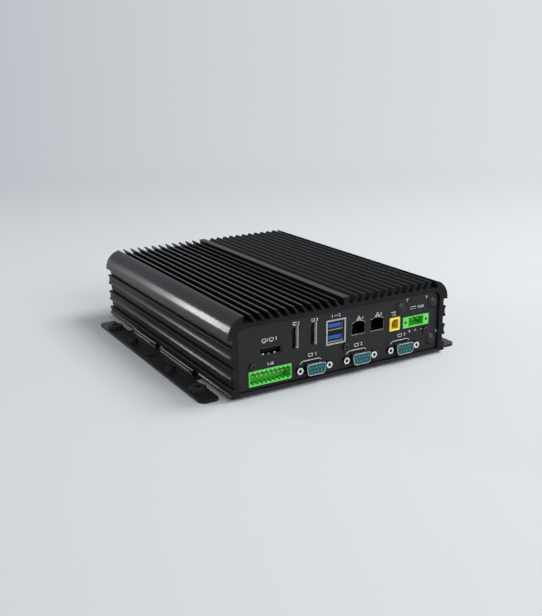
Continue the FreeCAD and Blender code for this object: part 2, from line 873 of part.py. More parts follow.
def usb_stack_shell():
    """Rim, sunk mouth with two port shells standing in it, and foot on the board."""
    x, z = usb_at
    width, height = usb_body
    front = panel_face - usb_frame_proud
    rear = panel_face + usb_depth
    body = box(x - width / 2, x + width / 2, panel_face, rear, z - height / 2, z + height / 2)
    wide, tall = usb_frame
    frame = box(x - wide / 2, x + wide / 2, front, panel_face, z - tall / 2, z + tall / 2)
    foot = box(x - width / 2, x + width / 2, panel_back + socket_foot_gap, rear,
               board_top, z - height / 2)
    open_x = wide / 2 - usb_frame_edge
    open_z = tall / 2 - usb_frame_edge
    floor = front + usb_mouth_depth
    mouth = box(x - open_x, x + open_x, front, floor, z - open_z, z + open_z)
    nests = usb_pair(usb_nest[0], usb_nest[1], front + usb_nest_recess, floor)
    ports = usb_pair(usb_nest[0] - 2 * usb_nest_wall, usb_nest[1] - 2 * usb_nest_wall,
                     front, panel_face + usb_cavity)
    return fused(body, frame, foot).cut([mouth.cut(nests)] + ports)


def usb_tongues():
    """Contact tongues, hung from the rear wall of each port."""
    width, height, length = usb_tongue
    rear = panel_face + usb_cavity
    return group(usb_pair(width, height, rear - length, rear))


def lan_outline(x, grow, y0, y1):
    """Jack opening with the stepped notch for the latch above it."""
    width, height = lan_opening
    low = lan_height - height / 2
    high = lan_height + height / 2
    points = [(width / 2 + grow, low - grow), (width / 2 + grow, high + grow)]
    level = high
    for notch_width, rise in lan_notches:
        points.append((notch_width / 2 + grow, level + grow))
        level = high + rise
        points.append((notch_width / 2 + grow, level + grow))
    points += [(-px, pz) for px, pz in reversed(points)]
    return prism([(x + px, pz) for px, pz in points], y0, y1)


def lan_shell(x):
    width, depth = lan_shield
    top = lan_height + lan_opening[1] / 2 + lan_notches[-1][1] + 1.0
    can = box(x - width / 2, x + width / 2, panel_back, panel_back + depth, board_top, top)
    hollow = box(x - width / 2 + lan_wall, x + width / 2 - lan_wall, panel_back + lan_wall,
                 panel_back + depth, board_top, top - lan_wall)
    front = panel_face + lan_setback
    nose = lan_outline(x, lan_wall, front, panel_back + lan_wall)
    hole = lan_outline(x, 0, front, panel_back + lan_wall)
    return fused(can.cut(hollow), nose).cut(hole)


def lan_insert(x):
    """Black moulding that fills the can around the plug's space."""
    width, depth = lan_shield
    top = lan_height + lan_opening[1] / 2 + lan_notches[-1][1] + 1.0 - lan_wall
    front = panel_back + lan_wall
    block = box(x - width / 2 + lan_wall, x + width / 2 - lan_wall, front,
                panel_back + depth, board_top, top)
    hole = lan_outline(x, 0, front, panel_face + lan_cavity)
    return block.cut(hole)


def lan_contact_set(x):
    """Eight spring wires that rise from the floor of the jack towards its rear."""
    low = lan_height - lan_opening[1] / 2
    rear = panel_face + lan_cavity
    half = lan_contact_width / 2
    wires = []
    for k in range(lan_contacts):
        middle = x + (k - (lan_contacts - 1) / 2) * lan_contact_pitch
        side = [V(0, rear - lan_contact_length, low), V(0, rear, low + 2.6),
                V(0, rear, low + 2.0), V(0, rear - lan_contact_length + 1.6, low)]
        face = Part.Face(Part.makePolygon(side + side[:1]))
        wire = face.extrude(V(lan_contact_width, 0, 0))
        wire.translate(V(middle - half, back(0), up(0)))
        wires.append(wire)
    return wires


# ================================================================ plugs and indicators

plug_radius = 4.8
plug_rise = 2.6
plug_shank_radius = 3.2
plug_grip_radius = 3.7
plug_grip_depth = 1.6
indicator_width = 2.1
indicator_length = 3.0
indicator_collar = 0.6         # how much wider the pipe is behind the panel
indicator_rise = 0.3
indicator_tail = 2.0           # behind the panel


def hole_plug(x, z):
    """Domed plug pushed into an antenna hole, turned as one profile."""
    dome_radius = (plug_radius ** 2 + plug_rise ** 2) / (2 * plug_rise)
    half_angle = math.asin(plug_radius / dome_radius) / 2
    middle = V(dome_radius * math.sin(half_angle),
               dome_radius * (1 - math.cos(half_angle)) - plug_rise, 0)
    tail = panel_thickness + plug_grip_depth
    crown = Part.Arc(V(0, -plug_rise, 0), middle, V(plug_radius, 0, 0)).toShape()
    corners = [V(plug_radius, 0, 0), V(plug_shank_radius, 0, 0),
               V(plug_shank_radius, panel_thickness, 0), V(plug_grip_radius, panel_thickness, 0),
               V(plug_grip_radius, tail, 0), V(0, tail, 0), V(0, -plug_rise, 0)]
    edges = [Part.makeLine(a, b) for a, b in zip(corners, corners[1:])]
    profile = Part.Face(Part.Wire([crown] + edges))
    plug = profile.revolve(V(0, 0, 0), V(0, 1, 0), 360)
    plug.translate(V(x, back(panel_face), up(z)))
    return plug


def upright_slot(x, width, length, y0, y1):
    """Upright bar with round ends at the height of the indicators."""
    radius = width / 2
    reach = length / 2 - radius
    ends = [rod_y(x, indicator_height + s * reach, radius, y0, y1) for s in (-1, 1)]
    middle = box(x - radius, x + radius, y0, y1, indicator_height - reach,
                 indicator_height + reach)
    return fused(middle, *ends)


def indicator(x):
    """Light pipe with a collar behind the panel."""
    pipe = upright_slot(x, indicator_width, indicator_length,
                        panel_face - indicator_rise, panel_back + indicator_tail)
    collar = upright_slot(x, indicator_width + 2 * indicator_collar,
                          indicator_length + 2 * indicator_collar,
                          panel_back, panel_back + indicator_tail / 2)
    return fused(pipe, collar)


# ================================================================ inside

link_width = 24.0
link_depth = 5.0
link_reach = 12.6              # down from the mainboard's underside
link_shift = 25.0              # to the right of the midpoint of the first two sockets
drive_size = (69.9, 100.0, 7.0)
drive_at = (10.0, 110.0)       # middle x, middle behind the front end
drive_screw_gap = (61.7, 76.6)
drive_screw_rise = 3.0
memory_at = (42.0, 120.0)
memory_size = (67.6, 30.0, 1.2)
memory_socket_size = (71.0, 6.5, 5.2)
memory_lift = 2.0
memory_arm_width = 4.0
memory_chip = (10.0, 14.0, 1.0)
memory_chip_xs = (-24.0, -8.0, 8.0, 24.0)
memory_chip_inset = 8.0        # behind the module's front edge
cell_at = (-62.0, 130.0)
cell_radius = 10.0
cell_height = 3.2
holder_wall = 1.2
holder_floor = 1.0
holder_mouth = (8.0, 5.0)      # opening in the ring for lifting the cell out
radio_at = (-62.0, 70.0)
radio_size = (22.0, 30.0, 0.8)
radio_lift = 2.2
radio_socket = (22.0, 5.0, 4.0)
radio_rest = 6.0               # side of the block under the card's free end
radio_can = (16.0, 14.0, 1.2)
radio_can_inset = 6.0


def mainboard():
    front = mainboard_setback
    board = box(-mainboard_half_width, mainboard_half_width, front, front + mainboard_depth,
                board_underside, board_top)
    holes = [rod_z(x, board_screw_y, screw_radius + hole_clearance, board_underside, board_top)
             for x in post_xs]
    holes += [rod_z(x, mainboard_rear_screw, screw_radius + hole_clearance,
                    board_underside, board_top) for x in post_xs]
    return board.cut(holes)


mainboard_rear_screw = mainboard_setback + mainboard_depth - 6.0


def rear_standoff(x):
    """Round standoff under the rear edge of the mainboard."""
    bar = rod_z(x, mainboard_rear_screw, post_width / 2, cover_thickness, board_underside)
    tap = rod_z(x, mainboard_rear_screw, screw_core,
                board_top - board_screw_length - 1, board_underside)
    return bar.cut(tap)


def rear_panel_post(x):
    """Twin of the front post, for the rear panel's screw alone."""
    half = post_width / 2
    column = box(x - half, x + half, post_column_setback, post_column_back,
                 cover_thickness, board_underside)
    head = box(x - half, x + half, panel_back, post_column_back,
               board_underside - post_head_height, board_underside)
    tap = rod_y(x, panel_screw_height, screw_core, panel_back,
                panel_back + panel_screw_length + 1)
    return rear_twin(fused(column, head).cut(tap))


def serial_board():
    """Upright board behind the lower row of sockets."""
    low = serial_height - dsub_body[1] / 2
    high = io_header_height + io_height / 2
    left = io_header_x - io_width / 2
    right = serial_xs[-1] + dsub_flange[0] / 2
    return box(left, right, serial_board_setback, serial_board_setback + board_thickness,
               low, high)


def board_link():
    """Connector block between the serial board and the mainboard."""
    rear = serial_board_setback + board_thickness
    middle = (serial_xs[0] + serial_xs[1]) / 2 + link_shift
    return box(middle - link_width / 2, middle + link_width / 2, rear, rear + link_depth,
               board_underside - link_reach, board_underside)


def drive_screw_places():
    x, y = drive_at
    dx, dy = drive_screw_gap
    return [(x + s * dx / 2, y + t * dy / 2) for s in (-1, 1) for t in (-1, 1)]


def storage_drive():
    width, length, height = drive_size
    x, y = drive_at
    can = box(x - width / 2, x + width / 2, y - length / 2, y + length / 2,
              cover_thickness, cover_thickness + height)
    edges = [e for e in can.Edges if abs(e.tangentAt(e.FirstParameter).z) > 0.99]
    can = can.makeFillet(2.0, edges)
    taps = [rod_z(px, py, screw_core, cover_thickness, cover_thickness + drive_screw_rise + 0.5)
            for px, py in drive_screw_places()]
    return can.cut(taps)


def processor():
    half = processor_size / 2
    return box(-half, half, spreader_back - half, spreader_back + half,
               board_top, board_top + processor_height)


def thermal_pad():
    half = processor_size / 2
    low = board_top + processor_height
    return box(-half, half, spreader_back - half, spreader_back + half,
               low, low + thermal_pad_height)


def heat_spreader():
    """Block that carries the processor's heat up to the ceiling of the extrusion."""
    foot = processor_size / 2
    half = spreader_size / 2
    low = board_top + processor_height + thermal_pad_height
    waist = low + spreader_stem
    stem = box(-foot, foot, spreader_back - foot, spreader_back + foot, low, waist)
    head = box(-half, half, spreader_back - half, spreader_back + half, waist, cavity_ceiling)
    return fused(stem, head)


def memory_socket():
    """Socket bar with two arms that hold the module flat above the board."""
    x, y = memory_at
    width, depth, height = memory_socket_size
    length = memory_size[1]
    bar = box(x - width / 2, x + width / 2, y, y + depth, board_top, board_top + height)
    arms = [box(a, b, y + depth, y + depth + length,
                board_top, board_top + memory_lift)
            for a, b in ((x - width / 2, x - width / 2 + memory_arm_width),
                         (x + width / 2 - memory_arm_width, x + width / 2))]
    return fused(bar, *arms)


def memory_module():
    x, y = memory_at
    width, length, sheet = memory_size
    front = y + memory_socket_size[1]
    low = board_top + memory_lift
    board = box(x - width / 2, x + width / 2, front, front + length, low, low + sheet)
    wide, deep, tall = memory_chip
    start = front + memory_chip_inset
    chips = [box(x + px - wide / 2, x + px + wide / 2, start, start + deep,
                 low + sheet, low + sheet + tall) for px in memory_chip_xs]
    return fused(board, *chips)


def cell_holder():
    x, y = cell_at
    outer = rod_z(x, y, cell_radius + holder_wall, board_top,
                  board_top + holder_floor + cell_height)
    well = rod_z(x, y, cell_radius + fit_clearance, board_top + holder_floor,
                 board_top + holder_floor + cell_height)
    width, depth = holder_mouth
    start = y + cell_radius - depth / 2
    mouth = box(x - width / 2, x + width / 2, start, start + depth,
                board_top + holder_floor, board_top + holder_floor + cell_height)
    return outer.cut([well, mouth])


def coin_cell():
    low = board_top + holder_floor
    return rod_z(cell_at[0], cell_at[1], cell_radius, low, low + cell_height)


def radio_socket_body():
    x, y = radio_at
    width, depth, height = radio_socket
    bar = box(x - width / 2, x + width / 2, y, y + depth, board_top, board_top + height)
    end = y + depth + radio_size[1]
    rest = box(x - radio_rest / 2, x + radio_rest / 2, end - radio_rest, end,
               board_top, board_top + radio_lift)
    return bar, rest


def radio_card():
    x, y = radio_at
    width, length, sheet = radio_size
    front = y + radio_socket[1]
    low = board_top + radio_lift
    board = box(x - width / 2, x + width / 2, front, front + length, low, low + sheet)
    wide, deep, tall = radio_can
    start = front + radio_can_inset
    can = box(x - wide / 2, x + wide / 2, start, start + deep, low + sheet, low + sheet + tall)
    return fused(board, can)


# ================================================================ assembly

def front_panel():
    displays = [(lying_display_at, False)]
    displays += [((x, upright_display_height), True) for x in upright_display_xs]
    cuts = panel_screw_holes()
    for x in serial_xs:
        cuts += serial_cutout(x)
    cuts.append(header_cutout(io_header_x, io_header_height, io_width / 2, io_height))
    power_half = power_poles * power_pitch / 2 + power_flange
    cuts.append(header_cutout(power_at[0], power_at[1], power_half, power_height))
    cuts.append(header_cutout(yellow_at[0], yellow_at[1], yellow_width / 2, yellow_height))
    cuts.append(header_cutout(usb_at[0], usb_at[1], usb_body[0] / 2, usb_body[1]))
    for at, upright in displays:
        cuts.append(display_outline(at, upright, display_wall + fit_clearance,
                                    panel_face, panel_back))
    for x in lan_xs:
        cuts.append(lan_outline(x, lan_wall + fit_clearance, panel_face, panel_back))
    for x in indicator_xs:
        cuts.append(upright_slot(x, indicator_width, indicator_length, panel_face, panel_back))
    for x, z in plug_places:
        cuts.append(rod_y(x, z, plug_shank_radius, panel_face, panel_back))
    return panel_blank().cut(cuts)


def rear_panel():
    return rear_twin(panel_blank().cut(panel_screw_holes()))


def keep(name, shape):
    parts[name] = shape


keep("extruded_housing", extruded_housing())
keep("bottom_cover", bottom_cover())
keep("front_panel", front_panel())
keep("rear_panel", rear_panel())
keep("front_panel_screws", panel_screws())
keep("rear_panel_screws", rear_twin(panel_screws()))
keep("front_board_posts", group([board_post(x) for x in post_xs]))
keep("rear_panel_posts", group([rear_panel_post(x) for x in post_xs]))
keep("bottom_cover_screws", group(
    [csk_screw(s * underside_screw_x, y, 0, ledge_top - fit_clearance)
     for s in (-1, 1) for y in cover_screw_ys]))

keep("right_mounting_bracket", mounting_bracket())
keep("left_mounting_bracket", mirrored(mounting_bracket()))
keep("bracket_screws", group(
    [csk_screw(s * underside_screw_x, y, -bracket_thickness, ledge_top - fit_clearance)
     for s in (-1, 1) for y in bracket_screw_ys]))
keep("bracket_grommets", group(
    [grommet(s * grommet_x, y) for s in (-1, 1) for y in grommet_ys]))
keep("bracket_cap_screws", group(
    [cap_screw(s * cap_screw_x, y) for s in (-1, 1) for y in cap_screw_ys]))

for number, x in enumerate(serial_xs, 1):
    keep("serial_socket_%d_shell" % number, serial_shell(x))
    keep("serial_socket_%d_insulator" % number, serial_insulator(x))
keep("serial_pins", serial_pins())
keep("serial_jack_nuts", group(
    [jack_nut(x + s * jack_spacing / 2) for x in serial_xs for s in (-1, 1)]))

keep("io_header", io_header())
keep("power_header", power_header())
keep("power_header_inserts", power_inserts())
keep("yellow_socket", yellow_socket())
keep("header_pins", group(
    header_pins(io_header_x, io_header_height, io_poles, io_pitch)
    + header_pins(power_at[0], power_at[1], power_poles, power_pitch)
    + header_pins(yellow_at[0], yellow_at[1], 2, yellow_pin_gap)))

keep("display_socket_1_shell", display_shell(lying_display_at, False))
keep("display_socket_1_insert", display_insert(lying_display_at, False))
for number, x in enumerate(upright_display_xs, 2):
    place = (x, upright_display_height)
    keep("display_socket_%d_shell" % number, display_shell(place, True))
    keep("display_socket_%d_insert" % number, display_insert(place, True))

keep("usb_stack_shell", usb_stack_shell())
keep("usb_stack_tongues", usb_tongues())
for number, x in enumerate(lan_xs, 1):
    keep("lan_jack_%d_shell" % number, lan_shell(x))
    keep("lan_jack_%d_insert" % number, lan_insert(x))
keep("lan_jack_contacts", group([wire for x in lan_xs for wire in lan_contact_set(x)]))
keep("indicator_lenses", group([indicator(x) for x in indicator_xs]))
keep("antenna_hole_plugs", group([hole_plug(x, z) for x, z in plug_places]))

keep("mainboard", mainboard())
keep("mainboard_screws", group(
    [board_screw(x, y) for x in post_xs for y in (board_screw_y, mainboard_rear_screw)]))
keep("rear_board_standoffs", group([rear_standoff(x) for x in post_xs]))
keep("serial_board", serial_board())
keep("board_link", board_link())
keep("processor", processor())
keep("thermal_pad", thermal_pad())
keep("heat_spreader_block", heat_spreader())
keep("memory_socket", memory_socket())
keep("memory_module", memory_module())
keep("coin_cell_holder", cell_holder())
keep("coin_cell", coin_cell())
keep("radio_card_socket", group(radio_socket_body()))
keep("radio_card", radio_card())
keep("storage_drive", storage_drive())
keep("storage_drive_screws", group(
    [csk_screw(x, y, 0, cover_thickness + drive_screw_rise) for x, y in drive_screw_places()]))

for name, shape in parts.items():
    shape.exportStep("parts/%s.step" % name)
    print("%-26s solids %3d  valid %s" % (name, len(shape.Solids), shape.isValid()))
print(len(parts), "nodes")
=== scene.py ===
"""Looks of a fanless industrial computer: finishes, panel print, small contacts and a plain stage."""

import json
import math

import bmesh
import bpy
from bpy.props import FloatProperty, FloatVectorProperty, PointerProperty
from mathutils import Matrix, Vector


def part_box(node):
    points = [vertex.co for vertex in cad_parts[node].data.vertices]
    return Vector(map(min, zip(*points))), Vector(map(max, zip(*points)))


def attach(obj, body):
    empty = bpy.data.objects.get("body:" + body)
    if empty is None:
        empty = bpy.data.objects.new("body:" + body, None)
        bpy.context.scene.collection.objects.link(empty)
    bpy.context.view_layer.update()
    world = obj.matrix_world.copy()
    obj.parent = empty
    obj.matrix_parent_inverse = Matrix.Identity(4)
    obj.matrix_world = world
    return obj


bl_info = {
    "name": "Fanless computer looks",
    "version": (1, 0, 0),
    "blender": (4, 5, 0),
    "location": "View3D > Sidebar > Computer",
    "description": "Finishes, panel print and stage for a fanless industrial computer",
    "category": "Object",
}

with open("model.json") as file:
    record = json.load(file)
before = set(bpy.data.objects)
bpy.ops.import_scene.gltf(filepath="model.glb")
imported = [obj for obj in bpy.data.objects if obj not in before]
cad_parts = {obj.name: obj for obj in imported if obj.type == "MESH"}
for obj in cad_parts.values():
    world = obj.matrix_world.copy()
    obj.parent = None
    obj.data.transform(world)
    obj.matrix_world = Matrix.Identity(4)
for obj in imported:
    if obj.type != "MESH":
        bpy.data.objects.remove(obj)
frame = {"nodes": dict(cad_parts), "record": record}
NODES = frame["nodes"]
SLOT_OF = {part["node"]: part["material_slot"] for part in frame["record"]["subparts"]}
MM = 0.001


# ---------------------------------------------------------------- settings

def colour_setting(label, note, value):
    """A colour that a user may change."""
    return FloatVectorProperty(name=label, description=note, subtype="COLOR", size=3,
                               min=0.0, max=1.0, default=value)


def length_setting(label, note, value):
    """A length that a user may change."""
    return FloatProperty(name=label, description=note, default=value, min=0.0,
                         subtype="DISTANCE", unit="LENGTH", precision=5)


def place_setting(label, note, value):
    """A place that a user may change."""
    return FloatVectorProperty(name=label, description=note, size=3, default=value,
                               subtype="TRANSLATION", unit="LENGTH")


def strength_setting(label, note, value):
    """The strength of a light that a user may change."""
    return FloatProperty(name=label, description=note, default=value, min=0.0)


class FinishSettings(bpy.types.PropertyGroup):
    """Colours of the computer's own parts."""
    extrusion: colour_setting("Extrusion", "Anodised black of the finned housing", (0.0165, 0.0165, 0.0172))
    panel: colour_setting("Panel", "Matt coat of the panels and the bottom cover", (0.0125, 0.0125, 0.013))
    bracket: colour_setting("Bracket", "Satin coat of the mounting brackets", (0.007, 0.007, 0.0075))
    fastener: colour_setting("Fasteners", "Blackened steel screws", (0.02, 0.02, 0.022))
    rubber: colour_setting("Rubber", "Bushes in the bracket ears", (0.008, 0.008, 0.009))
    # the green headers' lighter front edges are painted sheen and their darker inside is painted shade
    green: colour_setting("Green sockets", "Moulded terminal headers, outer edges", (0.15, 0.70, 0.12))
    green_in_painted_shade: colour_setting("Green inside", "Moulded terminal headers, inside", (0.07, 0.58, 0.045))
    # the yellow socket's brighter rim is painted sheen and its orange inside is painted shade
    yellow: colour_setting("Yellow socket", "Moulded two-pole socket, outer edges", (0.95, 0.78, 0.12))
    yellow_in_painted_shade: colour_setting("Yellow inside", "Moulded two-pole socket, inside", (0.80, 0.48, 0.01))
    teal: colour_setting("Teal insulator", "Moulded faces of the serial sockets", (0.007, 0.12, 0.138))
    blue: colour_setting("Blue tongues", "Contact tongues of the double socket", (0.012, 0.095, 0.36))
    print_white: colour_setting("Print", "White ink on the panel", (0.78, 0.79, 0.8))
    board: colour_setting("Boards", "Solder mask of the circuit boards", (0.01, 0.09, 0.035))


class PrintSettings(bpy.types.PropertyGroup):
    """Sizes of the print on the front panel."""
    line_width: length_setting("Line width", "Width of the printed bracket lines", 0.5 * MM)
    sign_width: length_setting("Sign width", "Width of the lines of the small signs", 0.36 * MM)
    ink_height: length_setting("Ink height", "How far the ink stands off the panel", 0.04 * MM)
    digit_height: length_setting("Digit height", "Height of the printed numbers", 2.3 * MM)


class StageSettings(bpy.types.PropertyGroup):
    """Camera, floor, backdrop and lights."""
    lens: FloatProperty(name="Lens", description="Focal length of the camera", default=47.55,
                        subtype="DISTANCE_CAMERA", unit="CAMERA")
    camera_place: place_setting("Camera", "Place of the camera", (-0.3286, -0.57075, 0.2214))
    camera_aim: place_setting("Aim", "Point the camera looks at", (-0.0094, -0.02564, 0.03))
    camera_roll: FloatProperty(name="Roll", description="Turn of the camera about its own line of sight",
                               subtype="ANGLE", unit="ROTATION", default=math.radians(-0.63))
    sky: strength_setting("Sky", "Strength of the even light from all round", 0.56)
    floor: colour_setting("Floor", "Colour of the floor round the object", (0.672, 0.693, 0.718))
    dim_side: colour_setting("Dim side", "Backdrop on the side away from the key light",
                             (0.485, 0.515, 0.555))
    bright_side: colour_setting("Bright side", "Backdrop on the side of the key light",
                                (0.72, 0.75, 0.775))
    near_floor: length_setting("Near floor", "Where the floor starts to turn into the backdrop", 0.2)
    far_floor: length_setting("Far floor", "Where the floor has become the backdrop", 1.35)
    key: strength_setting("Key light", "Strength of the large soft light on the right", 22.0)
    front: strength_setting("Front light", "Strength of the broad light in front of the panel", 20.0)
    streak: strength_setting("Streak light", "Strength of the small light behind, on the left", 4.2)


# ---------------------------------------------------------------- node helpers

def new_group(name, inputs, outputs):
    """A shader node group with named sockets; returns the tree and its two ends."""
    tree = bpy.data.node_groups.new(name, "ShaderNodeTree")
    for label, kind, value in inputs:
        socket = tree.interface.new_socket(name=label, in_out="INPUT", socket_type=kind)
        socket.default_value = value
    for label, kind in outputs:
        tree.interface.new_socket(name=label, in_out="OUTPUT", socket_type=kind)
    return tree, tree.nodes.new("NodeGroupInput"), tree.nodes.new("NodeGroupOutput")


def add(tree, kind, **settings):
    """Add a node and set its properties."""
    node = tree.nodes.new(kind)
    for key, value in settings.items():
        setattr(node, key, value)
    return node


def feed(tree, socket, value):
    """Link a socket to another one, or set it to a number or a colour."""
    if hasattr(value, "is_linked"):
        tree.links.new(value, socket)
    elif socket.type == "RGBA":
        socket.default_value = (*value, 1.0)
    else:
        socket.default_value = value


def noise(tree, vector, scale, detail, roughness=0.5):
    """Noise in three dimensions; scale is in grains a metre."""
    node = add(tree, "ShaderNodeTexNoise", noise_dimensions="3D")
    feed(tree, node.inputs["Vector"], vector)
    node.inputs["Scale"].default_value = scale
    node.inputs["Detail"].default_value = detail
    node.inputs["Roughness"].default_value = roughness
    return node.outputs["Fac"]


def spread(tree, value, low, high, to_low=0.0, to_high=1.0, interpolation="LINEAR"):
    """Map one range of a value to another, clamped."""
    node = add(tree, "ShaderNodeMapRange", clamp=True, interpolation_type=interpolation)
    for label, end in (("Value", value), ("From Min", low), ("From Max", high),
                       ("To Min", to_low), ("To Max", to_high)):
        feed(tree, node.inputs[label], end)
    return node.outputs["Result"]


def combine(tree, operation, first, second):
    """One step of arithmetic on two numbers or sockets."""
    node = add(tree, "ShaderNodeMath", operation=operation)
    feed(tree, node.inputs[0], first)
    feed(tree, node.inputs[1], second)
    return node.outputs[0]


def weigh(tree, first, share, second):
    """The first value by its share, and the second one by the rest."""
    return combine(tree, "ADD", combine(tree, "MULTIPLY", first, share),
                   combine(tree, "MULTIPLY", second, 1.0 - share))


def blend_colours(tree, factor, first, second):
    """Go from one colour to another by a factor."""
    node = add(tree, "ShaderNodeMix", data_type="RGBA", blend_type="MIX")
    feed(tree, node.inputs["Factor"], factor)
    for socket, value in zip([s for s in node.inputs if s.type == "RGBA"], (first, second)):
        feed(tree, socket, value)
    return [s for s in node.outputs if s.type == "RGBA"][0]


def object_place(tree):
    """Object coordinates, in metres from the part's origin."""
    return add(tree, "ShaderNodeTexCoord").outputs["Object"]


def scaled(colour, factor):
    """A darker or lighter tone of a colour."""
    return tuple(min(1.0, channel * factor) for channel in colour)


# ---------------------------------------------------------------- node groups for the finishes

FINISH_INPUTS = [
    ("Dark", "NodeSocketColor", (0.02, 0.02, 0.02, 1.0)),
    ("Light", "NodeSocketColor", (0.03, 0.03, 0.03, 1.0)),
    ("Smooth", "NodeSocketFloat", 0.35),
    ("Rough", "NodeSocketFloat", 0.5),
]
FINISH_OUTPUTS = [
    ("Colour", "NodeSocketColor"),
    ("Roughness", "NodeSocketFloat"),
    ("Height", "NodeSocketFloat"),
]


def finish_outputs(tree, start, end, mask, height):
    """Let a mask go from the dark, smooth state of a finish to the light, rough one."""
    feed(tree, end.inputs["Colour"],
         blend_colours(tree, mask, start.outputs["Dark"], start.outputs["Light"]))
    feed(tree, end.inputs["Roughness"],
         spread(tree, mask, 0.0, 1.0, start.outputs["Smooth"], start.outputs["Rough"]))
    feed(tree, end.inputs["Height"], height)


def drawn_metal_group():
    """Fine die lines along the length of an extrusion, with a slow change of tone."""
    tree, start, end = new_group("Drawn metal", FINISH_INPUTS, FINISH_OUTPUTS)
    place = object_place(tree)
    stretch = add(tree, "ShaderNodeMapping")
    stretch.inputs["Scale"].default_value = (1.0, 0.004, 1.0)
    feed(tree, stretch.inputs["Vector"], place)
    lines = noise(tree, stretch.outputs["Vector"], scale=3200.0, detail=3.0, roughness=0.6)
    tone = noise(tree, place, scale=38.0, detail=4.0, roughness=0.6)
    speckle = noise(tree, place, scale=2600.0, detail=2.0)
    mask = spread(tree, weigh(tree, lines, 0.6, tone), 0.32, 0.68)
    height = combine(tree, "ADD", lines, combine(tree, "MULTIPLY", speckle, 0.5))
    finish_outputs(tree, start, end, mask, height)
    return tree


def powder_coat_group():
    """Close orange-peel grain of a baked coat, with faint clouds."""
    tree, start, end = new_group("Powder coat", FINISH_INPUTS, FINISH_OUTPUTS)
    place = object_place(tree)
    peel = noise(tree, place, scale=2400.0, detail=2.0, roughness=0.55)
    clouds = noise(tree, place, scale=26.0, detail=3.0)
    mask = spread(tree, weigh(tree, peel, 0.55, clouds), 0.34, 0.66)
    finish_outputs(tree, start, end, mask, peel)
    return tree


def moulded_group():
    """Spark-eroded surface of moulded plastic, with slow flow marks."""
    tree, start, end = new_group("Moulded plastic", FINISH_INPUTS, FINISH_OUTPUTS)
    place = object_place(tree)
    pits = noise(tree, place, scale=5200.0, detail=2.0, roughness=0.6)
    flow = noise(tree, place, scale=140.0, detail=3.0, roughness=0.55)
    mask = spread(tree, weigh(tree, pits, 0.4, flow), 0.33, 0.67)
    finish_outputs(tree, start, end, mask, pits)
    return tree


def plated_group():
    """Rolled and plated sheet or turned pins: short scratches and stains."""
    tree, start, end = new_group("Plated metal", FINISH_INPUTS, FINISH_OUTPUTS)
    place = object_place(tree)
    turn = add(tree, "ShaderNodeMapping")
    turn.inputs["Rotation"].default_value = (0.3, 0.2, 0.5)
    turn.inputs["Scale"].default_value = (1.0, 0.15, 1.0)
    feed(tree, turn.inputs["Vector"], place)
    scratches = noise(tree, turn.outputs["Vector"], scale=2200.0, detail=3.0, roughness=0.65)
    stains = noise(tree, place, scale=320.0, detail=3.0, roughness=0.6)
    mask = spread(tree, weigh(tree, scratches, 0.5, stains), 0.3, 0.7)
    finish_outputs(tree, start, end, mask, scratches)
    return tree


def place_mask_group(name, axis, folded=False):
    """A mask that runs from 0 to 1 between two places along one axis of the object."""
    tree, start, end = new_group(
        name, [("From", "NodeSocketFloat", 0.0), ("To", "NodeSocketFloat", 0.001)],
        [("Mask", "NodeSocketFloat")])
    split = add(tree, "ShaderNodeSeparateXYZ")
    feed(tree, split.inputs["Vector"], object_place(tree))
    value = split.outputs[axis]
    if folded:
        value = combine(tree, "ABSOLUTE", value, 0.0)
    mask = spread(tree, value, start.outputs["From"], start.outputs["To"],
                  interpolation="SMOOTHSTEP")
    feed(tree, end.inputs["Mask"], mask)
    return tree


def build_groups():
    """The shared surfaces, and the masks that tell where a finish changes."""
    return {
        "drawn": drawn_metal_group(),
        "powder": powder_coat_group(),
        "moulded": moulded_group(),
        "plated": plated_group(),
        "depth": place_mask_group("Depth behind the panel", "Y"),
        "shoulder": place_mask_group("Distance to the sides", "X", folded=True),
        "across": place_mask_group("Place from left to right", "X"),
        "height": place_mask_group("Height over the ground", "Z"),
    }


# ---------------------------------------------------------------- finishes

RELIEF_DEPTH = 0.02 * MM


def place_mask(tree, group, low, high):
    """A mask that runs between two places, by one of the place groups."""
    mask = add(tree, "ShaderNodeGroup", node_tree=group)
    mask.inputs["From"].default_value = low
    mask.inputs["To"].default_value = high
    return mask.outputs["Mask"]


def place_colour(tree, colour, beyond, *masks):
    """Turn a colour into another one where all the place masks are at their ends."""
    factor = place_mask(tree, *masks[0])
    for mask in masks[1:]:
        factor = combine(tree, "MULTIPLY", factor, place_mask(tree, *mask))
    return blend_colours(tree, factor, colour, beyond)


def material(name, group, dark, light, smooth=0.35, rough=0.5, metallic=0.0, bump=0.1,
             specular=0.5, deep=None):
    """One finish: a shared group drives colour, roughness and bump of a Principled shader.

    deep is a painted shade or painted highlight: the colour beyond a place,
    then (mask group, where the change begins, where it ends) once or more."""
    made = bpy.data.materials.new(name)
    made.use_nodes = True
    tree = made.node_tree
    shader = tree.nodes["Principled BSDF"]
    pattern = add(tree, "ShaderNodeGroup", node_tree=group)
    for label, value in (("Dark", dark), ("Light", light), ("Smooth", smooth), ("Rough", rough)):
        feed(tree, pattern.inputs[label], value)
    colour = pattern.outputs["Colour"]
    if deep:
        colour = place_colour(tree, colour, *deep)
    feed(tree, shader.inputs["Base Color"], colour)
    feed(tree, shader.inputs["Roughness"], pattern.outputs["Roughness"])
    relief = add(tree, "ShaderNodeBump")
    relief.inputs["Strength"].default_value = bump
    relief.inputs["Distance"].default_value = RELIEF_DEPTH
    feed(tree, relief.inputs["Height"], pattern.outputs["Height"])
    feed(tree, shader.inputs["Normal"], relief.outputs["Normal"])
    shader.inputs["Metallic"].default_value = metallic
    shader.inputs["Specular IOR Level"].default_value = specular
    return made


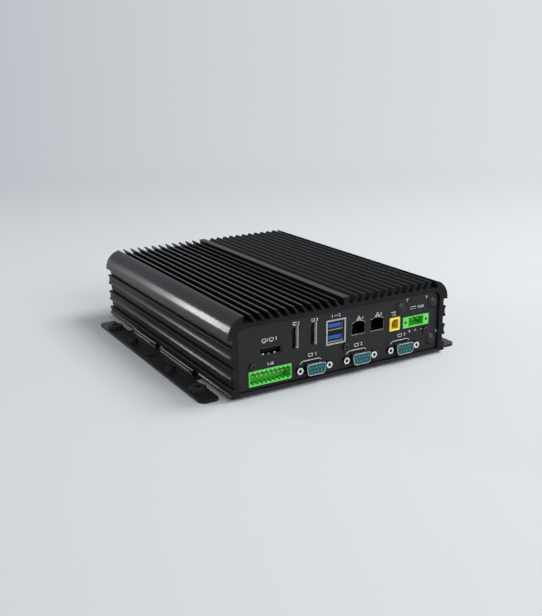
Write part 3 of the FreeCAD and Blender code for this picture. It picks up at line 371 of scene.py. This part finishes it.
# where the housing's coat changes
SHOULDER_START, SHOULDER_END = 81.5 * MM, 86.5 * MM    # from the middle, where the coat sets in
PAD_TOP, SHOULDER_FOOT = 34.0 * MM, 42.0 * MM          # heights between ribbed side and shoulder
PAD_SHARE = 0.3                                        # coat of the ribbed sides, of the shoulder's
TIP_START, TIP_END = 1.3 * MM, 0.3 * MM                # below the top of the fins
BANK_CHANGE_START, BANK_CHANGE_END = -34.0 * MM, -22.0 * MM   # from the left fins to the right
RIGHT_TIP_SHARE = 0.36                                 # coat of the right-hand tips, of the left ones
SAWN_START, SAWN_END = 0.4 * MM, 1.2 * MM              # behind the sawn end
EXTRUSION_SMOOTH, EXTRUSION_ROUGH = 0.42, 0.55
STREAK_BRIGHT, STREAK_DIM = 1.15, 0.55


def coat_housing(made, groups, sides, tips, roughness):
    """A clearer coat on the rounded shoulders and sides and on the tips of the fins.

    It is streaked along the drawn lines, weakest on the ribbed sides and on the right-hand
    tips, and leaves the sawn ends matt."""
    tree = made.node_tree
    shader = tree.nodes["Principled BSDF"]
    low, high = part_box("extruded_housing")
    pattern = [n for n in tree.nodes if n.type == "GROUP"][0]

    streaks = spread(tree, pattern.outputs["Roughness"], EXTRUSION_SMOOTH, EXTRUSION_ROUGH,
                     STREAK_BRIGHT, STREAK_DIM)
    shoulder = place_mask(tree, groups["shoulder"], SHOULDER_START, SHOULDER_END)
    pads = spread(tree, place_mask(tree, groups["height"], PAD_TOP, SHOULDER_FOOT),
                  0.0, 1.0, PAD_SHARE, 1.0)
    side = combine(tree, "MULTIPLY", combine(tree, "MULTIPLY", shoulder, streaks),
                   combine(tree, "MULTIPLY", pads, sides))

    tip = place_mask(tree, groups["height"], high.z - TIP_START, high.z - TIP_END)
    left = spread(tree, place_mask(tree, groups["across"], BANK_CHANGE_START, BANK_CHANGE_END),
                  0.0, 1.0, 1.0, RIGHT_TIP_SHARE)
    tip = combine(tree, "MULTIPLY", combine(tree, "MULTIPLY", tip, left), tips)

    behind_end = place_mask(tree, groups["depth"], low.y + SAWN_START, low.y + SAWN_END)
    weight = combine(tree, "MULTIPLY", combine(tree, "MAXIMUM", side, tip), behind_end)
    feed(tree, shader.inputs["Coat Weight"], weight)
    shader.inputs["Coat Roughness"].default_value = roughness


STEEL = ((0.55, 0.56, 0.58), (0.8, 0.81, 0.83))
BRIGHT = ((0.8, 0.8, 0.8), (0.95, 0.95, 0.95))
# white of painted highlights: light caught on the stop lips' top edges and on the right inner walls of the
# upright display sockets
PAINTED_HIGHLIGHT_WHITE = (0.97, 0.97, 0.98)


def build_materials(finish):
    """Every finish, by the record's slot name, and the finishes of single nodes after them."""
    g = build_groups()
    made = {}

    def coat(name, group, dark, light, **values):
        """A finish between two tones."""
        made[name] = material(name, g[group], dark, light, **values)

    def tint(name, group, colour, darker, lighter, **values):
        """A finish between a darker and a lighter tone of one colour."""
        coat(name, group, scaled(colour, darker), scaled(colour, lighter), **values)

    def plated(name, tones, **values):
        """Plated sheet or springs."""
        coat(name, "plated", *tones, smooth=0.2, rough=0.36, **values)

    def behind(node, face, bottom, colour):
        """Painted shade: a darker colour from one depth to the next behind the foremost edge of a node."""
        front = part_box(node)[0].y
        return colour, (g["depth"], front + face * MM, front + bottom * MM)

    # housing, panels and brackets
    tint("black_extrusion", "drawn", finish.extrusion, 0.75, 1.35, smooth=EXTRUSION_SMOOTH,
         rough=EXTRUSION_ROUGH, bump=0.14, specular=0.04)
    coat_housing(made["black_extrusion"], g, sides=0.55, tips=0.8, roughness=0.19)
    tint("black_sheet", "powder", finish.panel, 0.85, 1.2, smooth=0.5, rough=0.62, bump=0.18,
         specular=0.28)
    # painted highlight: a thin white line along the top of the brackets' stop lips, outside the housing's
    # sides
    lip_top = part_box("left_mounting_bracket")[1].z
    lip_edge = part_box("extruded_housing")[1].x + 0.2 * MM
    tint("bracket_black", "powder", finish.bracket, 0.8, 1.3, smooth=0.34, rough=0.48, bump=0.12,
         specular=0.3, deep=(PAINTED_HIGHLIGHT_WHITE, (g["height"], lip_top - 0.15 * MM, lip_top - 0.03 * MM),
                             (g["shoulder"], lip_edge, lip_edge + 0.15 * MM)))
    tint("black_steel", "plated", finish.fastener, 0.7, 1.4, smooth=0.3, rough=0.45, metallic=0.4)
    tint("black_rubber", "moulded", finish.rubber, 0.8, 1.5, smooth=0.5, rough=0.7, bump=0.2)

    # plastics on the panel
    coat("black_plastic", "moulded", (0.0012, 0.0012, 0.0012), (0.003, 0.003, 0.003),
         smooth=0.45, rough=0.6, specular=0.12)
    coat("plug_black", "moulded", (0.004, 0.004, 0.0042), (0.008, 0.008, 0.0083),
         smooth=0.42, rough=0.52, specular=0.42)
    tint("teal_plastic", "moulded", finish.teal, 0.85, 1.2, smooth=0.4, rough=0.55, specular=0.25)
    # painted shade: the header turns to the darker green behind its front edge
    tint("green_plastic", "moulded", finish.green, 0.9, 1.12, smooth=0.3, rough=0.45,
         deep=behind("io_header", 0.3, 2.2, finish.green_in_painted_shade))
    # painted shade: the socket turns to the darker orange behind its front edge
    tint("yellow_plastic", "moulded", finish.yellow, 0.92, 1.06, smooth=0.3, rough=0.45,
         deep=behind("yellow_socket", 0.4, 2.5, finish.yellow_in_painted_shade))
    tint("blue_plastic", "moulded", finish.blue, 0.85, 1.15, smooth=0.3, rough=0.45)
    coat("lens", "moulded", (0.008, 0.009, 0.008), (0.014, 0.015, 0.014), smooth=0.1, rough=0.2,
         bump=0.02)
    tint("print_white", "powder", finish.print_white, 0.92, 1.04, smooth=0.5, rough=0.65,
         bump=0.05)
    # painted shade: a near-black plate stands for the shade in the gap round the double socket's ports
    coat("gap_black", "moulded", (0.012, 0.009, 0.008), (0.02, 0.016, 0.014), smooth=0.6,
         rough=0.8, specular=0.1)

    # contacts and bright metal
    coat("bright_steel", "plated", (0.52, 0.52, 0.53), (0.75, 0.75, 0.76), smooth=0.18,
         rough=0.34, metallic=1.0)
    coat("contact_gold", "plated", (0.16, 0.26, 0.24), (0.3, 0.4, 0.36), smooth=0.25, rough=0.4,
         metallic=0.6)
    coat("contact_tin", "plated", (0.45, 0.62, 0.3), (0.7, 0.85, 0.5), smooth=0.3, rough=0.45,
         metallic=0.4)
    coat("brass_insert", "plated", (0.1, 0.13, 0.05), (0.2, 0.22, 0.1), smooth=0.3, rough=0.5,
         metallic=0.8)
    # painted shade: the nuts turn near-black in their bores just behind the front face
    plated("nut_steel", BRIGHT, metallic=0.75,
           deep=behind("serial_jack_nuts", 0.1, 0.25, (0.002, 0.002, 0.002)))
    # painted shade: the serial shells darken behind their fronts
    plated("serial_steel", STEEL, metallic=1.0,
           deep=behind("serial_socket_1_shell", 0.4, 2.2, (0.16, 0.17, 0.18)))
    # painted shade: the network shells turn near-black inside, behind their fronts
    plated("network_steel", STEEL, metallic=1.0,
           deep=behind("lan_jack_1_shell", 0.5, 1.8, (0.03, 0.03, 0.032)))
    # painted shade and painted highlight: the upright display shells are near-black for the shade in their
    # mouths, with white on the right-hand part for the lit right inner wall
    for k in (2, 3):
        low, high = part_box("display_socket_%d_shell" % k)
        middle = (low.x + high.x) / 2
        plated("upright_display_steel_%d" % k, ((0.012, 0.012, 0.012), (0.03, 0.03, 0.03)),
               metallic=0.05, deep=(PAINTED_HIGHLIGHT_WHITE, (g["across"], middle + 1.3 * MM, middle + 1.5 * MM)))
    # painted shade: the lying display shell turns near-black in its mouth
    plated("lying_display_steel", ((0.06, 0.06, 0.06), (0.14, 0.14, 0.145)), metallic=0.6,
           deep=behind("display_socket_1_shell", 0.3, 1.2, (0.01, 0.01, 0.01)))
    # painted shade: the double socket's shell darkens deep in its ports
    plated("double_socket_steel", ((0.33, 0.34, 0.36), (0.5, 0.51, 0.53)), metallic=0.35,
           deep=behind("usb_stack_shell", 2.6, 4.4, (0.04, 0.05, 0.08)))
    plated("spring_steel", BRIGHT, metallic=0.5)
    # painted shade: the network jacks' contacts are near-black for the shade inside the jacks
    plated("contacts_in_painted_shade", ((0.008, 0.007, 0.005), (0.02, 0.017, 0.01)), metallic=0.4)

    # inside the housing
    tint("circuit_board", "powder", finish.board, 0.8, 1.25, smooth=0.25, rough=0.4)
    coat("chip_black", "moulded", (0.01, 0.01, 0.011), (0.018, 0.018, 0.02), smooth=0.4, rough=0.6)
    coat("pad_grey", "moulded", (0.16, 0.16, 0.18), (0.22, 0.22, 0.25), smooth=0.6, rough=0.8)
    coat("plain_aluminium", "drawn", (0.6, 0.6, 0.61), (0.78, 0.78, 0.8), smooth=0.25, rough=0.4,
         metallic=1.0)
    coat("drive_case", "powder", (0.3, 0.3, 0.32), (0.42, 0.42, 0.44), smooth=0.35, rough=0.5,
         metallic=0.8)
    return made


# nodes that take a finish of their own in place of their slot's
NODE_FINISH = {
    "serial_jack_nuts": "nut_steel",
    "serial_socket_1_shell": "serial_steel",
    "serial_socket_2_shell": "serial_steel",
    "serial_socket_3_shell": "serial_steel",
    "lan_jack_1_shell": "network_steel",
    "lan_jack_2_shell": "network_steel",
    "lan_jack_contacts": "contacts_in_painted_shade",
    "display_socket_1_shell": "lying_display_steel",
    "display_socket_2_shell": "upright_display_steel_2",
    "display_socket_3_shell": "upright_display_steel_3",
    "usb_stack_shell": "double_socket_steel",
}


# ---------------------------------------------------------------- mesh helpers

def finished(name, bm, slot_name):
    """Make the mesh an object of its own that moves with the part."""
    mesh = bpy.data.meshes.new(name)
    bmesh.ops.recalc_face_normals(bm, faces=bm.faces)
    bm.to_mesh(mesh)
    bm.free()
    piece = bpy.data.objects.new(name, mesh)
    bpy.context.scene.collection.objects.link(piece)
    mesh.materials.append(bpy.data.materials[slot_name])
    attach(piece, "root")
    return piece


def block(bm, low, high):
    """Add a box between two corners."""
    size = Vector(high) - Vector(low)
    middle = (Vector(high) + Vector(low)) / 2
    matrix = Matrix.Translation(middle) @ Matrix.Diagonal((*size, 1.0))
    bmesh.ops.create_cube(bm, size=1.0, matrix=matrix)


def bar(bm, start, end, width, y_face, thickness):
    """A printed line between two places (x, z) on the panel, with round ends."""
    start, end = Vector(start), Vector(end)
    run = end - start
    middle = (start + end) / 2
    matrix = (Matrix.Translation((middle.x, y_face - thickness / 2, middle.y))
              @ Matrix.Rotation(-math.atan2(run.y, run.x), 4, "Y")
              @ Matrix.Diagonal((run.length, thickness, width, 1.0)))
    bmesh.ops.create_cube(bm, size=1.0, matrix=matrix)
    for place in (start, end):
        matrix = (Matrix.Translation((place.x, y_face - thickness / 2, place.y))
                  @ Matrix.Rotation(math.pi / 2, 4, "X"))
        bmesh.ops.create_cone(bm, segments=12, radius1=width / 2, radius2=width / 2,
                              depth=thickness, cap_ends=True, matrix=matrix)


def polyline(bm, places, width, y_face, thickness, closed=False):
    """Printed lines from place to place, and back to the first if closed."""
    ends = places[1:] + places[:1] if closed else places[1:]
    for start, end in zip(places, ends):
        bar(bm, start, end, width, y_face, thickness)


CAP_HEIGHT = 0.72     # height of a digit, of the font's size
DIGIT_WEIGHT = 0.02   # how far a digit's outline is moved outwards, of its height


def number(bm, text, middle, height, y_face, thickness):
    """Plain digits or signs on the panel, centred on a place (x, z)."""
    curve = bpy.data.curves.new("digits", "FONT")
    curve.body = text
    curve.size = height / CAP_HEIGHT
    curve.align_x = "CENTER"
    curve.align_y = "CENTER"
    curve.offset = height * DIGIT_WEIGHT
    curve.extrude = thickness / 2
    holder = bpy.data.objects.new("digits", curve)
    bpy.context.scene.collection.objects.link(holder)
    bpy.context.view_layer.update()
    mesh = bpy.data.meshes.new_from_object(holder)
    bpy.data.objects.remove(holder)
    mesh.transform(Matrix.Translation((middle[0], y_face - thickness / 2, middle[1]))
                   @ Matrix.Rotation(math.pi / 2, 4, "X"))
    bm.from_mesh(mesh)
    bpy.data.meshes.remove(mesh)


def centre(node):
    """Middle of a node's box."""
    low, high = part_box(node)
    return (low + high) / 2


def moved(x, z, places):
    """Places given in millimetres round a point (x, z)."""
    return [(x + dx * MM, z + dz * MM) for dx, dz in places]


# ---------------------------------------------------------------- signs of the print

def monitor_sign(bm, x, z, size, ink):
    """Screen on a foot."""
    half_w, half_h = size / 2, size * 0.31
    foot, foot_z = size * 0.25, z - size * 0.527
    polyline(bm, [(x - half_w, z - half_h), (x + half_w, z - half_h), (x + half_w, z + half_h),
                  (x - half_w, z + half_h)], *ink, closed=True)
    bar(bm, (x - foot, foot_z), (x + foot, foot_z), *ink)


def network_sign(bm, x, z, size, ink):
    """One box over two, joined by a line."""
    half = size * 0.22
    out, up = size * 0.42, size * 0.32
    for px, pz in ((x, z + up), (x - out, z - up), (x + out, z - up)):
        polyline(bm, [(px - half, pz - half), (px + half, pz - half), (px + half, pz + half),
                      (px - half, pz + half)], *ink, closed=True)
    bar(bm, (x - out, z), (x + out, z), *ink)


def aerial_sign(bm, x, z, size, ink):
    """Mast under an open triangle."""
    bar(bm, (x, z - size / 2), (x, z + size / 2), *ink)
    polyline(bm, [(x - size * 0.4, z + size / 2), (x, z), (x + size * 0.4, z + size / 2)], *ink)


def direct_current_sign(bm, x, z, size, ink):
    """Long line over three dashes."""
    rise, step, half_dash = size * 0.16, size * 0.38, size * 0.1
    bar(bm, (x - size / 2, z + rise), (x + size / 2, z + rise), *ink)
    for k in (-1, 0, 1):
        dash = x + k * step
        bar(bm, (dash - half_dash, z - rise), (dash + half_dash, z - rise), *ink)


def socket_sign(bm, x, z, size, ink):
    """Wide-topped outline of a serial socket."""
    half_w, half_h = size / 2, size * 0.26
    polyline(bm, [(x - half_w, z + half_h), (x + half_w, z + half_h),
                  (x + half_w * 0.75, z - half_h), (x - half_w * 0.75, z - half_h)],
             *ink, closed=True)


# ---------------------------------------------------------------- panel print

# widths of the signs
SERIAL_SIGN, LYING_SIGN, UPRIGHT_SIGN = 4.0 * MM, 3.2 * MM, 2.6 * MM
NETWORK_SIGN, CURRENT_SIGN, AERIAL_SIGN = 3.0 * MM, 5.2 * MM, 2.2 * MM
# places in millimetres from the middle of a socket
SERIAL_LINE = ((-11.6, 4.5), (-9.2, 6.2), (4.8, 6.2), (6.3, 5.0))
SERIAL_ROW = 9.9
LYING_ROW = 8.6
UPRIGHT_ROW = 10.4
HEADER_ROW = 8.4
# heights in millimetres over the top of a socket
DOUBLE_SOCKET_ROW = 2.6
NETWORK_ROW = 0.6
YELLOW_ROW, YELLOW_LINE_ROW = 2.0, 4.2
POWER_ROW, POLES_ROW = 6.4, -12.2


def print_lower_row(bm, bold, ink, digits):
    """Line, sign and number of each serial socket, and the pole numbers of the green header."""
    for k in (1, 2, 3):
        place = centre("serial_socket_%d_shell" % k)
        x, z = place.x, place.z
        polyline(bm, moved(x, z, SERIAL_LINE), *bold)
        socket_sign(bm, x - 2.6 * MM, z + SERIAL_ROW * MM, SERIAL_SIGN, ink)
        digits("%d" % k, x + 1.9 * MM, z + SERIAL_ROW * MM)
    header = centre("io_header")
    digits("1-10", header.x + 0.3 * MM, header.z + HEADER_ROW * MM, share=0.9)


def print_display_marks(bm, ink, digits):
    """Two screens with a stroke between them on the lying socket, one on the upright ones."""
    lying = centre("display_socket_1_shell")
    row = lying.z + LYING_ROW * MM
    monitor_sign(bm, lying.x - 5.4 * MM, row, LYING_SIGN, ink)
    bar(bm, *moved(lying.x, row, ((-2.9, -1.1), (-2.0, 1.1))), *ink)
    monitor_sign(bm, lying.x + 0.4 * MM, row, LYING_SIGN, ink)
    digits("1", lying.x + 4.2 * MM, row)
    for k in (2, 3):
        upright = centre("display_socket_%d_shell" % k)
        row = upright.z + UPRIGHT_ROW * MM
        monitor_sign(bm, upright.x - 0.9 * MM, row, UPRIGHT_SIGN, ink)
        digits("%d" % k, upright.x + 2.4 * MM, row - 0.3 * MM)


def print_socket_numbers(bm, ink, digits):
    """Numbers and signs over the double socket, the network jacks and the yellow socket."""
    stack = centre("usb_stack_shell")
    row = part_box("usb_stack_shell")[1].z + DOUBLE_SOCKET_ROW * MM
    digits("1", stack.x - 3.2 * MM, row)
    bar(bm, *moved(stack.x, row, ((-1.6, 0.0), (1.6, 0.0))), *ink)
    digits("2", stack.x + 3.2 * MM, row)
    for k in (1, 2):
        low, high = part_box("lan_jack_%d_shell" % k)
        x, row = (low.x + high.x) / 2, high.z + NETWORK_ROW * MM
        network_sign(bm, x - 0.2 * MM, row, NETWORK_SIGN, ink)
        digits("%d" % k, x + 3.2 * MM, row, share=0.9)
    yellow = centre("yellow_socket")
    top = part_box("yellow_socket")[1].z
    digits("1 2", yellow.x - 0.8 * MM, top + YELLOW_ROW * MM, share=0.8)
    row = top + YELLOW_LINE_ROW * MM
    bar(bm, *moved(yellow.x, row, ((-3.4, 0.0), (1.8, 0.0))), *ink)


def print_power_marks(bm, ink, digits):
    """Direct current and its range over the power header, the poles' signs under it."""
    power_low, power_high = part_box("power_header")
    x = (power_low.x + power_high.x) / 2
    row = power_high.z + POWER_ROW * MM
    direct_current_sign(bm, x - 2.6 * MM, row, CURRENT_SIGN, ink)
    digits("12-24", x + 4.6 * MM, row, share=0.85)
    row = power_high.z + POLES_ROW * MM
    digits("+", x - 5.4 * MM, row, share=1.2)
    bar(bm, *moved(x, row, ((-0.9, 0.0), (1.3, 0.0))), *ink)
    bar(bm, *moved(x, row, ((0.2, 0.0), (0.2, 1.2))), *ink)
    bar(bm, *moved(x, row, ((5.2, 0.0), (7.2, 0.0))), *ink)


def print_aerial_marks(bm, ink):
    """A mast beside each plugged hole."""
    low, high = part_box("antenna_hole_plugs")
    aerial_sign(bm, low.x + 11.2 * MM, high.z + 0.3 * MM, AERIAL_SIGN, ink)
    aerial_sign(bm, high.x - 10.5 * MM, high.z - 0.1 * MM, AERIAL_SIGN, ink)
    aerial_sign(bm, high.x + 0.9 * MM, low.z + 10.2 * MM, AERIAL_SIGN, ink)


def print_panel(settings):
    """White print of the front panel: lines, signs and plain numbers."""
    thick = settings.ink_height
    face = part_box("front_panel")[0].y
    bold = (settings.line_width, face, thick)
    ink = (settings.sign_width, face, thick)
    bm = bmesh.new()

    def digits(text, x, z, share=1.0):
        """A number, at a share of the usual height."""
        number(bm, text, (x, z), settings.digit_height * share, face, thick)

    print_lower_row(bm, bold, ink, digits)
    print_display_marks(bm, ink, digits)
    print_socket_numbers(bm, ink, digits)
    print_power_marks(bm, ink, digits)
    print_aerial_marks(bm, ink)
    finished("panel_print", bm, "print_white")


# ---------------------------------------------------------------- small pieces

def port_gap_plate():
    """Dark plate in the mouth of the double socket, painted shade round the two ports, and the bright lower
    edge of each port.
    """
    low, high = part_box("usb_stack_shell")
    x, z = (low.x + high.x) / 2, (low.z + high.z) / 2
    near, far = low.y + 0.6 * MM, low.y + 0.96 * MM
    half_x, half_z = 7.33 * MM, 8.18 * MM
    port_x, port_low, port_high = 6.35 * MM, 1.6 * MM, 7.3 * MM
    edge_height = 0.4 * MM
    bm = bmesh.new()
    for x0, x1, z0, z1 in ((-half_x, -port_x, -half_z, half_z), (port_x, half_x, -half_z, half_z),
                           (-port_x, port_x, -port_low, port_low),
                           (-port_x, port_x, port_high, half_z),
                           (-port_x, port_x, -half_z, -port_high)):
        block(bm, (x + x0, near, z + z0), (x + x1, far, z + z1))
    piece = finished("double_socket_gap_shade_plate", bm, "gap_black")

    bm = bmesh.new()
    for edge in (-port_high, port_low):
        block(bm, (x - port_x, near, z + edge), (x + port_x, far, z + edge + edge_height))
    edges = finished("double_socket_port_edges", bm, "double_socket_steel")


def display_springs():
    """Bright ground springs that show at the mouth of the lying display socket."""
    shell_low, shell_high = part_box("display_socket_1_shell")
    near, far = shell_low.y + 0.15 * MM, shell_low.y + 0.55 * MM
    floor = shell_low.z + 0.75 * MM
    bm = bmesh.new()
    for share, wide, tall in ((0.16, 1.1, 0.9), (0.42, 0.9, 0.55), (0.70, 1.5, 0.6)):
        x = shell_low.x + (shell_high.x - shell_low.x) * share
        block(bm, (x - wide / 2 * MM, near, floor), (x + wide / 2 * MM, far, floor + tall * MM))
    bmesh.ops.bevel(bm, geom=bm.edges[:], offset=0.08 * MM, offset_type="OFFSET", segments=2,
                    profile=0.5, affect="EDGES", material=-1)
    piece = finished("display_socket_springs", bm, "spring_steel")


# ---------------------------------------------------------------- stage

FLOOR_HALF = 14.0
HEADING = Vector((0.505, 0.863, 0.0))     # over the part into the backdrop
RIGHT = Vector((0.863, -0.505, 0.0))      # across it, to the bright side
LEAST_AHEAD = 0.15                        # keeps the slope finite beside and behind
FAN_CENTRE = 0.66                         # metres before the part, where the floor's fan starts
FAN_SLOPE = 0.36                          # slope to the side at which the backdrop has changed
FAN_CURVE = 0.75                          # power that brightens the middle of the fan
UP = (0.0, 0.0, 1.0)
# place, the point it faces, the lengths of its two sides, and which way the second side runs
LAMPS = {
    "key_light": ((1.12, -0.25, 1.45), (0.0, 0.0, 0.0), (0.9, 0.9), UP),
    "front_light": ((0.5, -1.9, 1.1), (0.0, -0.1, 0.03), (1.4, 1.0), UP),
    "streak_light": ((-0.775, 1.125, 0.247), (-0.09, -0.07, 0.05), (0.08, 0.40),
                     (0.276, 0.0, 0.961)),
}


def softbox(name, place, aim, size, up, strength):
    """A flat soft lamp that faces a point, its second side as near to up as it can be."""
    lamp = bpy.data.lights.new(name, "AREA")
    lamp.shape = "RECTANGLE"
    lamp.size, lamp.size_y = size
    lamp.energy = strength
    holder = bpy.data.objects.new(name, lamp)
    bpy.context.scene.collection.objects.link(holder)
    back = (Vector(place) - Vector(aim)).normalized()
    side = Vector(up).cross(back).normalized()
    turn = Matrix((side, back.cross(side), back)).transposed().to_4x4()
    holder.matrix_world = Matrix.Translation(place) @ turn


def backdrop_group():
    """Backdrop colour that brightens from the dim side to the bright side, read from a direction."""
    tree, start, end = new_group("Backdrop", [
        ("Direction", "NodeSocketVector", (0.0, 1.0, 0.0)),
        ("Dim", "NodeSocketColor", (0.5, 0.5, 0.5, 1.0)),
        ("Bright", "NodeSocketColor", (0.7, 0.7, 0.7, 1.0))], [("Colour", "NodeSocketColor")])

    def along(axis):
        """How far the direction runs along an axis."""
        dot = add(tree, "ShaderNodeVectorMath", operation="DOT_PRODUCT")
        feed(tree, dot.inputs[0], start.outputs["Direction"])
        feed(tree, dot.inputs[1], axis)
        return dot.outputs["Value"]

    ahead = combine(tree, "MAXIMUM", along(HEADING), LEAST_AHEAD)
    slope = combine(tree, "DIVIDE", along(RIGHT), ahead)
    factor = combine(tree, "POWER", spread(tree, slope, -FAN_SLOPE, FAN_SLOPE), FAN_CURVE)
    colour = blend_colours(tree, factor, start.outputs["Dim"], start.outputs["Bright"])
    feed(tree, end.inputs["Colour"], colour)
    return tree


def seen_rays(tree):
    """1 for rays from the camera and for those that gloss and clear parts send on."""
    path = add(tree, "ShaderNodeLightPath")
    seen = combine(tree, "MAXIMUM", path.outputs["Is Camera Ray"], path.outputs["Is Glossy Ray"])
    return combine(tree, "MAXIMUM", seen, path.outputs["Is Transmission Ray"])


def backdrop(tree, group, direction, settings):
    """The backdrop's colour in a direction."""
    node = add(tree, "ShaderNodeGroup", node_tree=group)
    feed(tree, node.inputs["Dim"], settings.dim_side)
    feed(tree, node.inputs["Bright"], settings.bright_side)
    feed(tree, node.inputs["Direction"], direction)
    return node.outputs["Colour"]


def mix_shaders(tree, factor, first, second, output):
    """Go from one shader to another by a factor, into an output node."""
    mix = add(tree, "ShaderNodeMixShader")
    feed(tree, mix.inputs["Fac"], factor)
    feed(tree, mix.inputs[1], first)
    feed(tree, mix.inputs[2], second)
    feed(tree, tree.nodes[output].inputs["Surface"], mix.outputs["Shader"])


def floor_material(settings, group):
    """Pale matt floor round the object that turns into the backdrop far away."""
    pale = bpy.data.materials.new("pale_floor")
    pale.use_nodes = True
    tree = pale.node_tree
    shader = tree.nodes["Principled BSDF"]
    place = object_place(tree)
    clouds = noise(tree, place, scale=3.0, detail=2.0)
    feed(tree, shader.inputs["Base Color"],
         blend_colours(tree, clouds, scaled(settings.floor, 0.995), scaled(settings.floor, 1.005)))
    shader.inputs["Roughness"].default_value = 0.9
    shader.inputs["Specular IOR Level"].default_value = 0.05

    shifted = add(tree, "ShaderNodeVectorMath", operation="ADD")
    feed(tree, shifted.inputs[0], place)
    feed(tree, shifted.inputs[1], HEADING * FAN_CENTRE)
    glow = add(tree, "ShaderNodeEmission")
    feed(tree, glow.inputs["Color"], backdrop(tree, group, shifted.outputs["Vector"], settings))
    reach = add(tree, "ShaderNodeVectorMath", operation="LENGTH")
    feed(tree, reach.inputs[0], place)
    far = spread(tree, reach.outputs["Value"], settings.near_floor, settings.far_floor,
                 interpolation="SMOOTHSTEP")
    mix_shaders(tree, combine(tree, "MULTIPLY", far, seen_rays(tree)), shader.outputs["BSDF"],
                glow.outputs["Emission"], "Material Output")
    return pale


def lay_floor(context, settings, group):
    """A flat floor under the part."""
    bm = bmesh.new()
    bmesh.ops.create_grid(bm, x_segments=1, y_segments=1, size=FLOOR_HALF)
    mesh = bpy.data.meshes.new("floor")
    bm.to_mesh(mesh)
    bm.free()
    floor = bpy.data.objects.new("floor", mesh)
    context.scene.collection.objects.link(floor)
    mesh.materials.append(floor_material(settings, group))


def build_world(context, settings, group):
    """Even light from all round; cameras and gloss see the backdrop instead."""
    world = context.scene.world or bpy.data.worlds.new("studio")
    context.scene.world = world
    world.use_nodes = True
    tree = world.node_tree
    light = tree.nodes["Background"]
    feed(tree, light.inputs["Color"], settings.floor)
    light.inputs["Strength"].default_value = settings.sky
    seen = add(tree, "ShaderNodeBackground")
    direction = add(tree, "ShaderNodeTexCoord").outputs["Generated"]
    feed(tree, seen.inputs["Color"], backdrop(tree, group, direction, settings))
    mix_shaders(tree, seen_rays(tree), light.outputs["Background"], seen.outputs["Background"],
                "World Output")


def set_camera(context, settings):
    """The camera, looking down on the panel and the left side."""
    lens = bpy.data.cameras.new("camera")
    lens.lens = settings.lens
    lens.sensor_width = 36.0
    lens.sensor_fit = "AUTO"
    lens.clip_start = 0.01
    camera = bpy.data.objects.new("camera", lens)
    context.scene.collection.objects.link(camera)
    sight = Vector(settings.camera_aim) - Vector(settings.camera_place)
    turn = sight.to_track_quat("-Z", "Y").to_matrix().to_4x4()
    camera.matrix_world = (Matrix.Translation(settings.camera_place) @ turn
                           @ Matrix.Rotation(settings.camera_roll, 4, "Z"))
    context.scene.camera = camera


# ---------------------------------------------------------------- operators

class OBJECT_OT_computer_finishes(bpy.types.Operator):
    """Give every part of the computer its finish"""
    bl_idname = "object.computer_finishes"
    bl_label = "Finishes"

    def execute(self, context):
        made = build_materials(context.scene.computer_finish)
        for name, node in NODES.items():
            finish_name = NODE_FINISH.get(name, SLOT_OF[name])
            if finish_name not in made:
                raise RuntimeError("no finish for %s" % name)
            node.data.materials.clear()
            node.data.materials.append(made[finish_name])
        return {"FINISHED"}


class OBJECT_OT_computer_socket_parts(bpy.types.Operator):
    """Add the small plates and springs in the mouths of the sockets"""
    bl_idname = "object.computer_socket_parts"
    bl_label = "Socket parts"

    def execute(self, context):
        port_gap_plate()
        display_springs()
        return {"FINISHED"}


class OBJECT_OT_computer_print(bpy.types.Operator):
    """Print lines, signs and numbers on the front panel"""
    bl_idname = "object.computer_print"
    bl_label = "Panel print"

    def execute(self, context):
        print_panel(context.scene.computer_print)
        return {"FINISHED"}


class OBJECT_OT_computer_stage(bpy.types.Operator):
    """Set the floor, the backdrop, the soft lights and the camera"""
    bl_idname = "object.computer_stage"
    bl_label = "Stage"

    def execute(self, context):
        settings = context.scene.computer_stage
        group = backdrop_group()
        lay_floor(context, settings, group)
        build_world(context, settings, group)
        for name, strength in (("key_light", settings.key), ("front_light", settings.front),
                               ("streak_light", settings.streak)):
            softbox(name, *LAMPS[name], strength)
        set_camera(context, settings)
        context.scene.view_settings.view_transform = "Standard"
        return {"FINISHED"}


STEPS = (OBJECT_OT_computer_finishes, OBJECT_OT_computer_socket_parts, OBJECT_OT_computer_print,
         OBJECT_OT_computer_stage)


class VIEW3D_PT_computer(bpy.types.Panel):
    """Lists the steps in the sidebar"""
    bl_label = "Fanless computer"
    bl_idname = "VIEW3D_PT_computer"
    bl_space_type = "VIEW_3D"
    bl_region_type = "UI"
    bl_category = "Computer"

    def draw(self, context):
        for step in STEPS:
            self.layout.operator(step.bl_idname)


CLASSES = (FinishSettings, PrintSettings, StageSettings, *STEPS, VIEW3D_PT_computer)


def register():
    """Make the classes and the settings known to Blender."""
    for made in CLASSES:
        bpy.utils.register_class(made)
    bpy.types.Scene.computer_finish = PointerProperty(type=FinishSettings)
    bpy.types.Scene.computer_print = PointerProperty(type=PrintSettings)
    bpy.types.Scene.computer_stage = PointerProperty(type=StageSettings)


def unregister():
    """Take the settings and the classes away again."""
    del bpy.types.Scene.computer_stage
    del bpy.types.Scene.computer_print
    del bpy.types.Scene.computer_finish
    for made in reversed(CLASSES):
        bpy.utils.unregister_class(made)


def main():
    """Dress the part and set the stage."""
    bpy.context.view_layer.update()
    register()
    bpy.ops.object.computer_finishes()
    bpy.ops.object.computer_socket_parts()
    bpy.ops.object.computer_print()
    bpy.ops.object.computer_stage()


if __name__ == "__main__":
    main()
